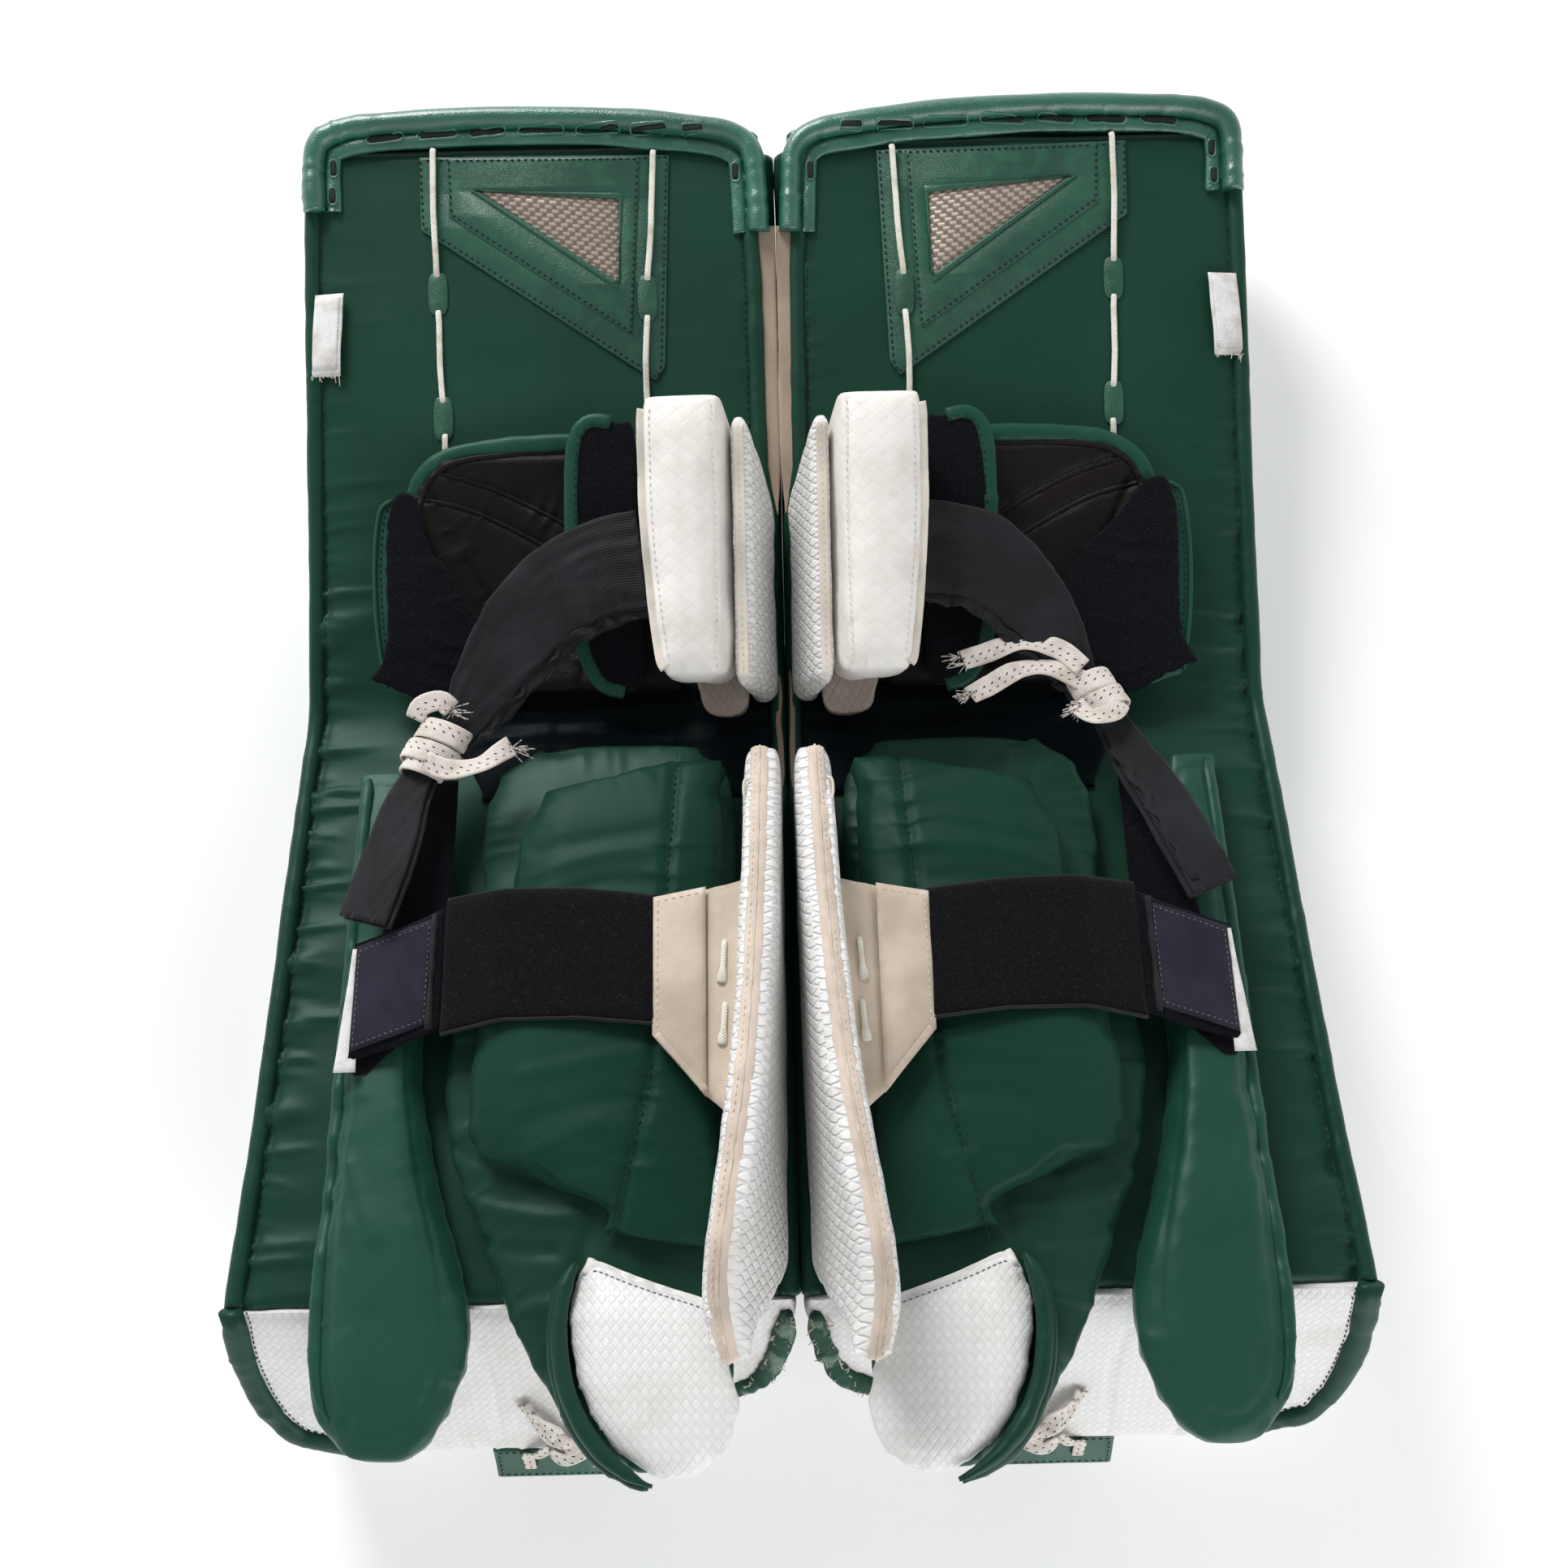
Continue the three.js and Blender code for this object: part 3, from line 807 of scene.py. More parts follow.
def white_weave(name, colour, cell=6.0, relief=0.35, tint=0.10, dirt=0.35, angle=52, tall=1.0):
    """White leather embossed with a weave of leaning cells, dull and bright in turn, soiled."""
    look = Look(name, 0.42, 0.4)
    look.v = look.math("DIVIDE", look.v, tall)
    one = look.sine(look.diagonal(angle), 2 * cell)
    two = look.sine(look.diagonal(-angle), 2 * cell)
    turns = look.math("MULTIPLY", one, two)
    crown = look.ramp(look.math("ABSOLUTE", turns), 0.0, 0.5)
    dull = look.ramp(turns, -0.06, 0.06)
    base = look.mix(look.math("MULTIPLY", dull, tint), colour, shade(colour, 0.8))
    seam = look.math("SUBTRACT", 1.0, look.ramp(look.math("ABSOLUTE", turns), 0.0, 0.16))
    base = look.mix(look.math("MULTIPLY", seam, tint), base, shade(colour, 0.6))
    soil = look.ramp(look.noise(38, 5, 0.62), 0.44, 0.74)
    base = look.mix(look.math("MULTIPLY", soil, dirt), base, (0.5, 0.43, 0.36))
    scuff = look.ramp(look.noise(5, 5, 0.7, (1, 0.3, 1)), 0.66, 0.74)
    base = look.mix(look.math("MULTIPLY", scuff, dirt * 0.8), base, (0.3, 0.28, 0.26))
    worn = look.math("MULTIPLY", look.edges(0.51, 0.58), look.noise(6, 4))
    base = look.mix(look.math("MULTIPLY", worn, 0.5), base, (0.55, 0.44, 0.32))
    look.set("Base Color", base)
    look.set("Roughness", look.math("ADD", look.math("MULTIPLY", soil, 0.2), 0.36))
    look.bump(crown, relief, 0.8)
    look.bump(look.noise(8, 4, 0.6), 0.3, 0.4)
    return look.material


def loop_pile(name, colour, sparkle=0.05):
    """Black loop fabric: a fuzzy pile of tiny loops."""
    look = Look(name, 0.95, 0.08)
    loops = look.noise(1.3, 3, 0.75)
    base = look.mix(look.ramp(loops, 0.5, 0.75), colour, shade(colour, 4.5))
    fluff = look.ramp(look.noise(3.2, 4, 0.8), 0.58, 0.72)
    base = look.mix(look.math("MULTIPLY", fluff, sparkle * 6), base, (0.05, 0.05, 0.055))
    look.set("Base Color", base)
    look.set("Sheen Weight", 0.04)
    look.set("Sheen Roughness", 0.5)
    look.bump(loops, 0.9, 0.9)
    look.bump(look.noise(6, 3), 0.8, 0.5)
    return look.material


def ribbed(name, colour, pitch=1.5, roughness=0.6, gloss=0.14):
    """Elastic webbing: fine ribs along its length over a knitted ground."""
    look = Look(name, roughness, gloss)
    ribs = look.sine(look.v, pitch)
    knit = look.sine(look.u, 1.2)
    slow = look.ramp(look.noise(26, 3), 0.3, 0.7)
    base = look.mix(slow, shade(colour, 0.75), shade(colour, 1.35))
    base = look.mix(look.math("MULTIPLY", look.ramp(ribs, -1, 1), 0.3), base, shade(colour, 1.8))
    look.set("Base Color", base)
    look.set("Sheen Weight", 0.05)
    look.bump(look.math("ADD", ribs, look.math("MULTIPLY", knit, 0.4)), 0.14, 0.6)
    look.bump(look.noise(4, 3), 0.25, 0.4)
    return look.material


def twill(name, colour, light):
    """A metallic basket weave: rows of short bright threads, each row set off from the last, with
    painted shading that darkens each row's edges.
    """
    look = Look(name, 0.36, 0.6)
    row_height, thread_pitch, row_shift = 2.5, 7.0, 0.38
    row = look.math("FLOOR", look.math("DIVIDE", look.v, row_height))
    along = look.math("ADD", look.math("DIVIDE", look.u, thread_pitch),
                      look.math("MULTIPLY", row, row_shift))
    part = look.math("FRACT", along)
    rise = look.ramp(part, 0.04, 0.2)
    fall = look.ramp(part, 0.78, 0.6)
    across = look.math("FRACT", look.math("DIVIDE", look.v, row_height))
    # lighter at each row's middle and darker at its edges: painted shading of the rounded threads
    # over their real bright colour; the same values make the bump
    body = look.math("SINE", look.math("MULTIPLY", across, math.pi))
    thread_relief_and_shading = look.math("MULTIPLY", look.math("MULTIPLY", rise, fall), body)
    base = look.mix(thread_relief_and_shading, colour, light)
    base = look.mix(look.math("MULTIPLY", look.noise(10, 3), 0.6), base, shade(colour, 1.2))
    look.set("Base Color", base)
    look.set("Metallic", 0.2)
    look.bump(thread_relief_and_shading, 0.4, 0.8)
    look.bump(look.sine(look.u, 0.6), 0.04, 0.5)
    return look.material


def braid(name, colour, fleck=None, soiled=0.55):
    """Flat braided lace, soiled, with two rows of dark flecks where it has them."""
    look = Look(name, 0.72, 0.3)
    soil = look.ramp(look.noise(12, 4, 0.6), 0.42, 0.72)
    base = look.mix(look.math("MULTIPLY", soil, soiled), colour, (0.45, 0.37, 0.29))
    chevron = look.math("ADD", look.u, look.math("MULTIPLY", look.math("ABSOLUTE", look.v), 1.0))
    weave = look.sine(chevron, 1.5)
    if fleck:
        spot_along = look.ramp(look.sine(look.math("ADD", look.u, look.v), 5.2), 0.62, 0.85)
        spot_across = look.ramp(look.sine(look.math("ADD", look.v, 0.4), 3.4), 0.35, 0.7)
        spots = look.math("MULTIPLY", spot_along, spot_across)
        middle = look.ramp(look.math("ABSOLUTE", look.v), 3.5, 3.0)
        spots = look.math("MULTIPLY", spots, middle)
        base = look.mix(spots, base, fleck)
    look.set("Base Color", base)
    look.bump(weave, 0.16, 0.8)
    look.bump(look.noise(2.5, 3), 0.25, 0.5)
    return look.material


def thread(name, colour):
    """Sewing thread."""
    look = Look(name, 0.6, 0.3)
    base = look.mix(look.noise(3, 2), shade(colour, 0.6), shade(colour, 1.3))
    look.set("Base Color", base)
    look.bump(look.sine(look.u, 0.8), 0.08, 0.6)
    return look.material


looks = {
    "nylon": nylon("green_nylon", GREEN),
    "dark_nylon": nylon("dark_green_nylon", shade(GREEN, 0.62)),
    "wing": nylon("wing_nylon", (0.0105, 0.055, 0.038), 0.08, 0.3),
    "wrap": nylon("wrap_nylon", shade(GREEN, 0.92), 0.03, 0.1),
    "cuff": leather("cuff_leather", (0.0135, 0.108, 0.070), 0.34, 1.6, 0.45, 0.8),
    "patch": leather("patch_leather", (0.0155, 0.078, 0.047), 0.38, 1.1, 0.12),
    "binding": nylon("green_binding", (0.0115, 0.058, 0.036), 0.08),
    "white": white_weave("white_weave_leather", WHITE, 4.2, 0.8, 0.42, 0.3, 45, 2.6),
    "block": white_weave("block_leather", (0.82, 0.79, 0.745), 7.0, 0.10, 0.10, 0.42, 40),
    # the knee block's foot: white leather painted a dark brownish grey, which is painted shade under
    # the knee block over some brown staining
    "foot": white_weave("stained_white_leather_painted_shade", (0.30, 0.245, 0.21), 4.6, 0.4, 0.2, 0.5, 60),
    "ghost": white_weave("ghost_weave_leather", WHITE, 3.7, 0.24, 0.24, 0.3, 50),
    "plain_white": white_weave("plain_white_leather", WHITE, 7.0, 0.05, 0.03, 0.3),
    "beige": leather("beige_leather", (0.56, 0.46, 0.36), 0.5, 1.0, 0.0),
    "pile": loop_pile("black_loop", (0.0042, 0.0042, 0.005)),
    "fleece": loop_pile("black_fleece", (0.0034, 0.0038, 0.0055), 0.02),
    "liner": leather("dark_liner", (0.0085, 0.0066, 0.0056), 0.5, 2.2, 0.0, 0.14),
    "elastic": ribbed("charcoal_elastic", (0.0125, 0.013, 0.0152)),
    "navy": ribbed("navy_twill", (0.016, 0.0165, 0.0265), 0.9, 0.8),
    "silver": twill("silver_weave", (0.20, 0.15, 0.12), (0.62, 0.53, 0.46)),
    "lace": braid("waxed_lace", (0.80, 0.78, 0.68)),
    "skate_lace": braid("fleck_lace", (0.76, 0.70, 0.64), (0.02, 0.02, 0.06)),
    "tape": braid("white_tape", (0.80, 0.80, 0.79)),
    # beige leather darkened by painted shade, for the strips in the gap between the pads and across
    # the knee crease
    "tan": leather("tan_leather", (0.36, 0.27, 0.20), 0.5, 1.1, 0.0),
    "bone": leather("bone_leather", (0.66, 0.60, 0.52), 0.5, 1.2, 0.0),
    "roll": leather("roll_leather", (0.60, 0.50, 0.42), 0.5, 1.2, 0.0),
    "tag": braid("tag_cloth", (0.82, 0.81, 0.80)),
    "worn_nylon": worn_nylon("worn_green_nylon"),
    # near black, for the sheet that paints the shade in the knee crease
    "navy_cloth": nylon("navy_cloth", (0.0032, 0.0058, 0.0078), 0.0, 0.05),
    # near black: painted shade inside the slots of the cuff's lap
    "dark_lace": braid("dark_lace", (0.009, 0.014, 0.012), None, 0.0),
    "grey_thread": thread("grey_thread", (0.22, 0.21, 0.22)),
    "green_thread": thread("green_thread", (0.006, 0.022, 0.014)),
    "white_thread": thread("white_thread", (0.66, 0.60, 0.5)),
    "black_thread": thread("black_thread", (0.008, 0.008, 0.01)),
}

# the record's material slot of each finish; thread and the painted shade in the cuff's slots have
# none
SLOTS = {
    "green_nylon": "nylon dark_nylon wing wrap binding patch worn_nylon",
    "cuff_leather": "cuff",
    "face_leather": "white block foot ghost plain_white tan bone roll",
    "tab_beige": "beige",
    "loop_black": "pile fleece navy tape",
    "liner_dark": "liner navy_cloth",
    "elastic_black": "elastic",
    "weave_silver": "silver",
    "lace_white": "lace skate_lace",
    "tag_white": "tag",
}
SLOT_OF = {look: slot for slot, names in SLOTS.items() for look in names.split()}


# ---------------------------------------------------------------- covers and faces

def edge_lines(upper, lower):
    """The back's outer and inner edges down the whole leg, as two rows of (s, x)."""
    outer, inner = [], []
    for node, section in ((upper, THIGH), (lower, SHIN)):
        loop = rim(node, section, smoothing=0, step=2.0)
        for low in np.arange(loop[:, 1].min() + 6, loop[:, 1].max() - 5, 6.0):
            strip = loop[np.abs(loop[:, 1] - low) < 2.0]
            if len(strip) > 1:
                outer.append((low, strip[:, 0].min()))
                inner.append((low, strip[:, 0].max()))
    return np.array(outer), np.array(inner)


OUTER, INNER = edge_lines("left_thigh_core", "left_shin_core")
LEG_TOP = 12.0
LEG_END = 680.0
# the core's thickness, the thickness with the playing face, and the slab's corner radius
CORE = 56.0
FACE = 66.0
CORNER = 9.0
# how far the playing face stays off the floor, in metres
FLOOR_GAP = 0.4 * MM


def outer_x(s):
    """The leg's outer edge at s."""
    return np.interp(s, OUTER[:, 0], OUTER[:, 1])


def inner_x(s):
    """The leg's inner edge at s."""
    return np.interp(s, INNER[:, 0], INNER[:, 1])


def end_share(gap, radius):
    """How much of its full size a round-cornered slab has, near its end."""
    return math.sqrt(max(0.0, 1 - max(0.0, 1 - gap / radius) ** 2))


def slab_rings(stations, low, high, radius, lengthwise):
    """Rounded-rectangle sections across the pad, one for each station."""
    rings, flats = [], []
    for s in stations:
        gap = min(s - stations[0], stations[-1] - s)
        r = radius
        narrow = CORNER * (1 - end_share(gap, CORNER))
        thin = r * (1 - end_share(gap, r))
        a, b = outer_x(s) + narrow, inner_x(s) - narrow
        top, bottom = high - thin, low + thin
        across = np.linspace(a + r, b - r, lengthwise)
        turn = np.linspace(0, math.pi / 2, 6)[1:-1]
        sides = np.linspace(bottom + r, top - r, max(2, int((high - low - 2 * r) / 4)))
        ring = [(x, top) for x in across]
        ring += [(b - r + r * math.sin(t), top - r + r * math.cos(t)) for t in turn]
        ring += [(b, h) for h in sides[::-1]]
        ring += [(b - r + r * math.cos(t), bottom + r - r * math.sin(t)) for t in turn]
        ring += [(x, bottom) for x in across[::-3]]
        ring += [(a + r - r * math.sin(t), bottom + r - r * math.cos(t)) for t in turn]
        ring += [(a, h) for h in sides]
        ring += [(a + r - r * math.cos(t), top - r + r * math.sin(t)) for t in turn]
        ring = np.array(ring)
        rings.append(np.c_[ring[:, 0], np.full(len(ring), s), ring[:, 1]])
        walk = np.r_[0, np.cumsum(np.linalg.norm(np.diff(ring, axis=0), axis=1))]
        flats.append(np.c_[np.full(len(ring), s), walk + a])
    return np.array(rings), np.array(flats)


def leg_slab(low, high, radius, step=2.2, columns=88):
    """A slab between two heights over the whole leg."""
    stations = np.arange(LEG_TOP, LEG_END + step / 2, step)
    rings, flats = slab_rings(stations, low, high, radius, columns)
    return capped(grid(rings, flats, wrap=True), rings.shape[1])


CREASE_BLEND = ("shin", (-140, CREASE - 40, 0), (-140, CREASE + 40, 0))
# a mask for the cover's back and the start of its sides
back_side = above(-14, -2)
# the beige strip's stretch along the thigh's inner edge
STRIP_FROM = 64
STRIP_TO = 236
# how far each pad's inner side bulges, so that no light shows between the two pads
MEET = {"left": 0.3, "right": -0.7}


def strip_share(s):
    """1 beside the beige strip along the thigh's inner edge, 0 beyond it."""
    return part_way(s, STRIP_FROM - 14, STRIP_FROM - 2) * part_way(s, STRIP_TO, STRIP_TO - 30)


def build_inner_strip(side, seed):
    """A strip of beige leather folded over the thigh's inner edge, darkened by painted shade of the
    gap between the pads.
    """
    add = placer(side, THIGH, "thigh")
    s = np.arange(STRIP_FROM, STRIP_TO, 2.5)
    meet = MEET[side]
    path = np.c_[(inner_x(s) - 6.4 + meet) / 2, s, np.full(len(s), -1.5)]
    path[:, 2] += 0.4 * smooth_noise(s / 23, seed)
    narrow = np.clip((STRIP_TO - s) / 34, 0.25, 1) ** 0.6
    reach = (6.4 + meet - inner_x(s)) * narrow
    path[:, 0] += (1 - narrow) * reach * 0.4
    strip = sweep(path, band(1.0, 1.6, 10), width=reach, height=np.ones(len(s)))
    # the strip's darker beige is painted shade of the gap between the pads
    add("inner_edge_strip", strip, "tan")


def build_crease_strip(side, seed):
    """The strip's narrow end, which shows again across the knee crease."""
    add = placer(side, LEG, "thigh")
    s = np.arange(318, 404, 2.5)
    path = np.c_[inner_x(s) - 2.2 + 0.8 * smooth_noise(s / 17, seed), s, np.full(len(s), 0.6)]
    thin = np.clip(np.minimum(s - 316, 406 - s) / 14, 0.2, 1)
    strip = sweep(path, band(3.4, 1.4, 8), width=thin)
    # darker beige: painted shade of the knee crease
    add("inner_crease_strip", strip, "tan", blend=CREASE_BLEND)


def build_cover(side, seed):
    """The green nylon cover over the core's back and sides, and its rolled edges."""
    add = placer(side, LEG, "thigh")
    build_inner_strip(side, seed + 15)
    build_crease_strip(side, seed + 17)
    shape = leg_slab(-CORE, 0.0, 9.0)
    s = np.arange(40, LEG_END, 4.0)
    outer_seam = at_height(np.c_[outer_x(s) + 9, s], 0)
    inner_seam = at_height(np.c_[inner_x(s) - 9, s], 0)

    def outer_folds(v):
        return back_side(v) * np.clip((v[:, 1] - 150) / 160, 0.12, 1)

    x, s, h = shape.v.T
    bulge = np.maximum(0, MEET[side] - inner_x(s)) * (x > inner_x(s) - 0.5)
    shape.v[:, 0] += bulge * part_way(h, -4, -12) * part_way(h, -CORE, 8 - CORE)
    groove(shape, outer_seam, 2.2, 2.6, mask=back_side)
    groove(shape, inner_seam, 2.2, 2.6, mask=back_side)
    pucker(shape, outer_seam, 2.5, 34, 12, seed, mask=outer_folds, slant=0.1)
    pucker(shape, outer_seam, 1.3, 15, 7.5, seed + 7, mask=outer_folds, slant=-0.2)
    pucker(shape, inner_seam, 0.8, 10, 9, seed + 3, mask=back_side)
    roughen(shape, 0.6, 42, seed + 5)
    x, s, h = shape.v.T
    under_patch = (x > -216) & (x < -58) & (s < 165)
    shape.v[(h > 0.2) & under_patch, 2] = 0.2
    add("leg_cover", shape, "nylon", "thigh_core", "shin_core", blend=CREASE_BLEND)
    for name, edge, sign in (("outer_edge_roll", outer_x, 1), ("inner_edge_roll", inner_x, -1)):
        s = np.arange(46, LEG_END, 2.5)
        path = np.c_[edge(s) + sign * 3.6, s, np.full(len(s), -2.4)]
        if sign < 0:
            path[:, 0] -= 5.6 * strip_share(s)
            path[:, 2] += 1.6 * strip_share(s)
        path[:, 2] += 0.5 * smooth_noise(s / 31, seed + 11)
        size = 1 + 0.05 * smooth_noise(s / 11, seed + 12)
        roll = sweep(path, oval(9.6, 9.0, 14), width=size)
        pucker(roll, path + (sign * 4, 0, 4), 0.5, 7, 9, seed + 13)
        add(name, roll, "nylon", blend=CREASE_BLEND)
        shift = 5.6 * strip_share(s) if sign < 0 else 0 * s
        seam = np.c_[edge(s) + sign * 9.4 - shift, s, np.full(len(s), -1.6)]
        thread_line = stitches(drape(seam, shape), 3.0, 1.8, 0.4)
        add(name + "_stitches", thread_line, "green_thread", blend=CREASE_BLEND)


def build_face(side, seed):
    """The playing face: a thin shell of white leather round the core's front and sides."""
    add = placer(side, LEG, "thigh")
    shape = leg_slab(-FACE, -CORE - 0.5, 4.0, 5.0, 60)
    for s in (118, 236, 418, 540):
        seam = np.array([(x, s + 0.09 * (x + 140), -FACE) for x in np.arange(-270, -10, 3.0)])
        groove(shape, seam, 2.0, 2.5)
    roughen(shape, 0.5, 50, seed)
    world = LEG.world(shape.v)
    sunk = world[:, 2] < FLOOR_GAP
    shape.v[sunk, 2] += (FLOOR_GAP - world[sunk, 2]) / MM
    add("leg_face", shape, "plain_white", "thigh_face", "shin_face", blend=CREASE_BLEND)
    for name, edge, sign in (("outer_face_piping", outer_x, -1), ("inner_face_piping", inner_x, 1)):
        s = np.arange(16, LEG_END - 4, 3.0)
        path = np.c_[edge(s) + sign * 0.2, s, np.full(len(s), -CORE - 0.2)]
        add(name, sweep(path, oval(3.4, 3.4, 10)), "dark_nylon", blend=CREASE_BLEND)


# ---------------------------------------------------------------- thin cut pieces

def offset_loop(loop, distance):
    """A flat closed loop moved inwards."""
    return inset(at_height(loop, 0), distance)[:, :2]


def plate(outline, low, high, bevel=0.5, hole=None, step=2.5, corners=True):
    """A flat cut piece with eased edges, from an outline of (x, s) points and maybe a hole."""
    outlines = [outline] if hole is None else [outline, hole]
    loops = [closed_loop(o, step) if corners else np.asarray(o, float) for o in outlines]
    verts, faces, starts = [], [], []
    for index, loop in enumerate(loops):
        sign = 1 if index == 0 else -1
        inner = offset_loop(loop, sign * bevel)
        levels = [(inner, low), (loop, low + bevel * 0.5), (loop, high - bevel), (inner, high)]
        n = len(loop)
        base = len(verts)
        starts.append((base, n))
        for ring, h in levels:
            verts += [(x, s, h) for x, s in ring]
        for k in range(3):
            for j in range(n):
                a, b = base + k * n + j, base + k * n + (j + 1) % n
                faces.append((a, b, b + n, a + n))
    for level in (0, 3):
        sheets = [[Vector((*verts[base + level * n + j][:2], 0)) for j in range(n)]
                  for base, n in starts]
        index = [base + level * n + j for base, n in starts for j in range(n)]
        for tri in tessellate_polygon(sheets):
            faces.append(tuple(index[i] for i in tri))
    made = Shape(verts, faces, np.array(verts)[:, :2].copy())
    return facing_out(made)


def facing_out(shape):
    """Gives a closed shape one consistent winding."""
    mesh = bpy.data.meshes.new("winding")
    mesh.from_pydata([tuple(p) for p in shape.v], [], shape.f)
    work = bmesh.new()
    work.from_mesh(mesh)
    bmesh.ops.recalc_face_normals(work, faces=work.faces)
    work.to_mesh(mesh)
    work.free()
    _, shape.f = mesh_data(mesh)
    bpy.data.meshes.remove(mesh)
    return shape


def shell(x, s, h, thickness):
    """A closed sheet over grids of x, s and h, with a thickness for each grid point."""
    rows, columns = x.shape
    flat = np.dstack([x, s])
    top = grid(np.dstack([x, s, h + thickness]), flat)
    low = grid(np.dstack([x, s, h]), flat)
    n = len(top.v)
    faces = list(top.f) + [tuple(k + n for k in f[::-1]) for f in low.f]
    border = list(range(columns))
    border += [k * columns + columns - 1 for k in range(1, rows)]
    border += [(rows - 1) * columns + k for k in range(columns - 2, -1, -1)]
    border += [k * columns for k in range(rows - 2, 0, -1)]
    for a, b in zip(border, border[1:] + border[:1]):
        faces.append((b, a, a + n, b + n))
    return facing_out(Shape(np.vstack([top.v, low.v]), faces, np.vstack([top.uv, low.uv])))


def from_border(rows, columns):
    """How many steps each point of a grid is from the grid's border."""
    i = np.minimum(np.arange(rows), np.arange(rows)[::-1])[:, None]
    j = np.minimum(np.arange(columns), np.arange(columns)[::-1])[None, :]
    return np.minimum(i, j)


def slab_sheet(x, s, h, thickness):
    """A closed sheet over grids of x, s and h that thins towards its border."""
    return shell(x, s, h, thickness * (0.4 + 0.6 * np.clip(from_border(*x.shape) / 1.3, 0, 1)))


def sheet(left, right, start, end, thickness, height, step=3.0, columns=12):
    """A strap or cloth patch lying at a height: its sides are functions of s, its ends are cut."""
    rows = max(4, int((end - start) / step))
    s = np.linspace(start, end, rows)
    share = np.linspace(0, 1, columns)
    x = np.array([[left(k) + (right(k) - left(k)) * q for q in share] for k in s])
    ss = np.repeat(s[:, None], columns, 1)
    sides = np.minimum(share, 1 - share)[None, :] * columns
    ends = np.minimum(np.arange(rows), np.arange(rows)[::-1])[:, None]
    eased = np.clip(np.minimum(sides, ends) / 1.2, 0, 1)
    return shell(x, ss, height(x, ss), thickness * (0.45 + 0.55 * eased))


def between(x, top, low, rows):
    """Grids of x and s for a piece whose top and low edges are given at each x."""
    share = np.linspace(0, 1, rows)
    return np.repeat(x[:, None], rows, 1), top[:, None] + (low - top)[:, None] * share


def downwards(path):
    """A path that runs from the pad's top edge towards its boot."""
    return path[::-1] if path[0, 1] > path[-1, 1] else path


def over(shapes, lift=0.0, floor=0.0):
    """A height function: the highest of the shapes under each point, plus a lift."""
    trees = [s.tree() for s in shapes]

    def height(x, s):
        out = np.full(x.shape, floor, float)
        for index in np.ndindex(x.shape):
            start = Vector((x[index], s[index], 300.0))
            for tree in trees:
                hit = tree.ray_cast(start, Vector((0, 0, -1)))[0]
                if hit is not None:
                    out[index] = max(out[index], hit.z)
        for _ in range(3):
            calm = out.copy()
            calm[1:-1] = (out[:-2] + 2 * out[1:-1] + out[2:]) / 4
            calm[:, 1:-1] = (calm[:, :-2] + 2 * calm[:, 1:-1] + calm[:, 2:]) / 4
            out = np.maximum(out - 0.3, calm)
        return out + lift
    return height


def frayed(path, seed, count=14, length=5.0, radius=0.28, direction=(0, 1, 0)):
    """Loose thread ends along an edge."""
    rng = np.random.default_rng(seed)
    shapes = []
    for _ in range(count):
        start = path[rng.integers(len(path))]
        heading = np.asarray(direction, float) + rng.normal(0, 0.45, 3)
        reach = length * rng.uniform(0.4, 1.1)
        bend = rng.normal(0, 0.8, 3)
        t = np.linspace(0, 1, 5)[:, None]
        line = start + heading * reach * t + bend * t * t
        shapes.append(sweep(line, oval(2 * radius, 2 * radius, 5), up=(0.1, 0.2, 1)))
    return joined(shapes)


# ---------------------------------------------------------------- thigh pieces

CUFF_LINE = [(-269, 50, 1), (-269, 25, 1.5), (-266, 11, 2), (-256, 5, 2.5), (-238, 1.8, 3),
             (-187, -0.5, 3), (-144, -0.5, 3), (-91, 1.8, 3), (-46, 6.8, 3), (-25, 11, 2.5),
             (-14, 20, 2), (-11.5, 35, 1.5), (-10, 68, 1)]


def build_cuff(side, seed):
    """The rolled top edge: a stuffed roll and a thin lap with near-black strips of painted shade in
    its slots.
    """
    add = placer(side, THIGH, "thigh")
    path = curve(CUFF_LINE, 2.0)
    turn = np.linspace(math.pi * 1.08, -math.pi * 0.15, 15)
    roll = np.c_[6.5 * np.cos(turn) - 1.0, 7.4 * np.sin(turn) + 0.8]
    lap = np.array([(6.6, 1.4), (8.4, 2.1), (11.0, 2.0), (13.4, 1.2), (14.6, 0.2), (13.8, -0.8)])
    below = np.array([(6, -1.2), (-3.6, -3.6), (-6.4, -2.6)])
    # mirrored, so that the lap looks into the pad
    profile = np.vstack([roll, lap, below])[::-1] * (-1, 1)
    lump = 1 + 0.04 * smooth_noise(np.arange(len(path)) * 2.0 / 26, seed)
    shape = sweep(path, profile, width=lump)
    upper = above(-1.5, 1.5)
    corners = [path[(path[:, 0] < -235)], path[(path[:, 0] > -45)]]
    for k, corner in enumerate(corners):
        pucker(shape, corner + (0, 0, 4), 0.9, 11, 9, seed + k, mask=upper, slant=0.9)
    pucker(shape, path + (0, 9, 3), 0.8, 8, 12, seed + 4, mask=upper)
    roughen(shape, 0.3, 22, seed + 6)
    add("cuff_roll", shape, "cuff", "top_cuff")
    rings, flats = slab_rings(np.arange(5.0, 15.0, 2.0), -CORE, -3.0, 4.0, 60)
    end = capped(grid(rings, flats, wrap=True), rings.shape[1])
    end.v[:, 1] -= 4.0 * np.clip(1 - np.abs(end.v[:, 0] + 140) / 150, 0, 1)
    roughen(end, 0.5, 30, seed + 8)
    add("cuff_end_wall", end, "cuff")
    build_cuff_slot_shade(side, shape, seed)


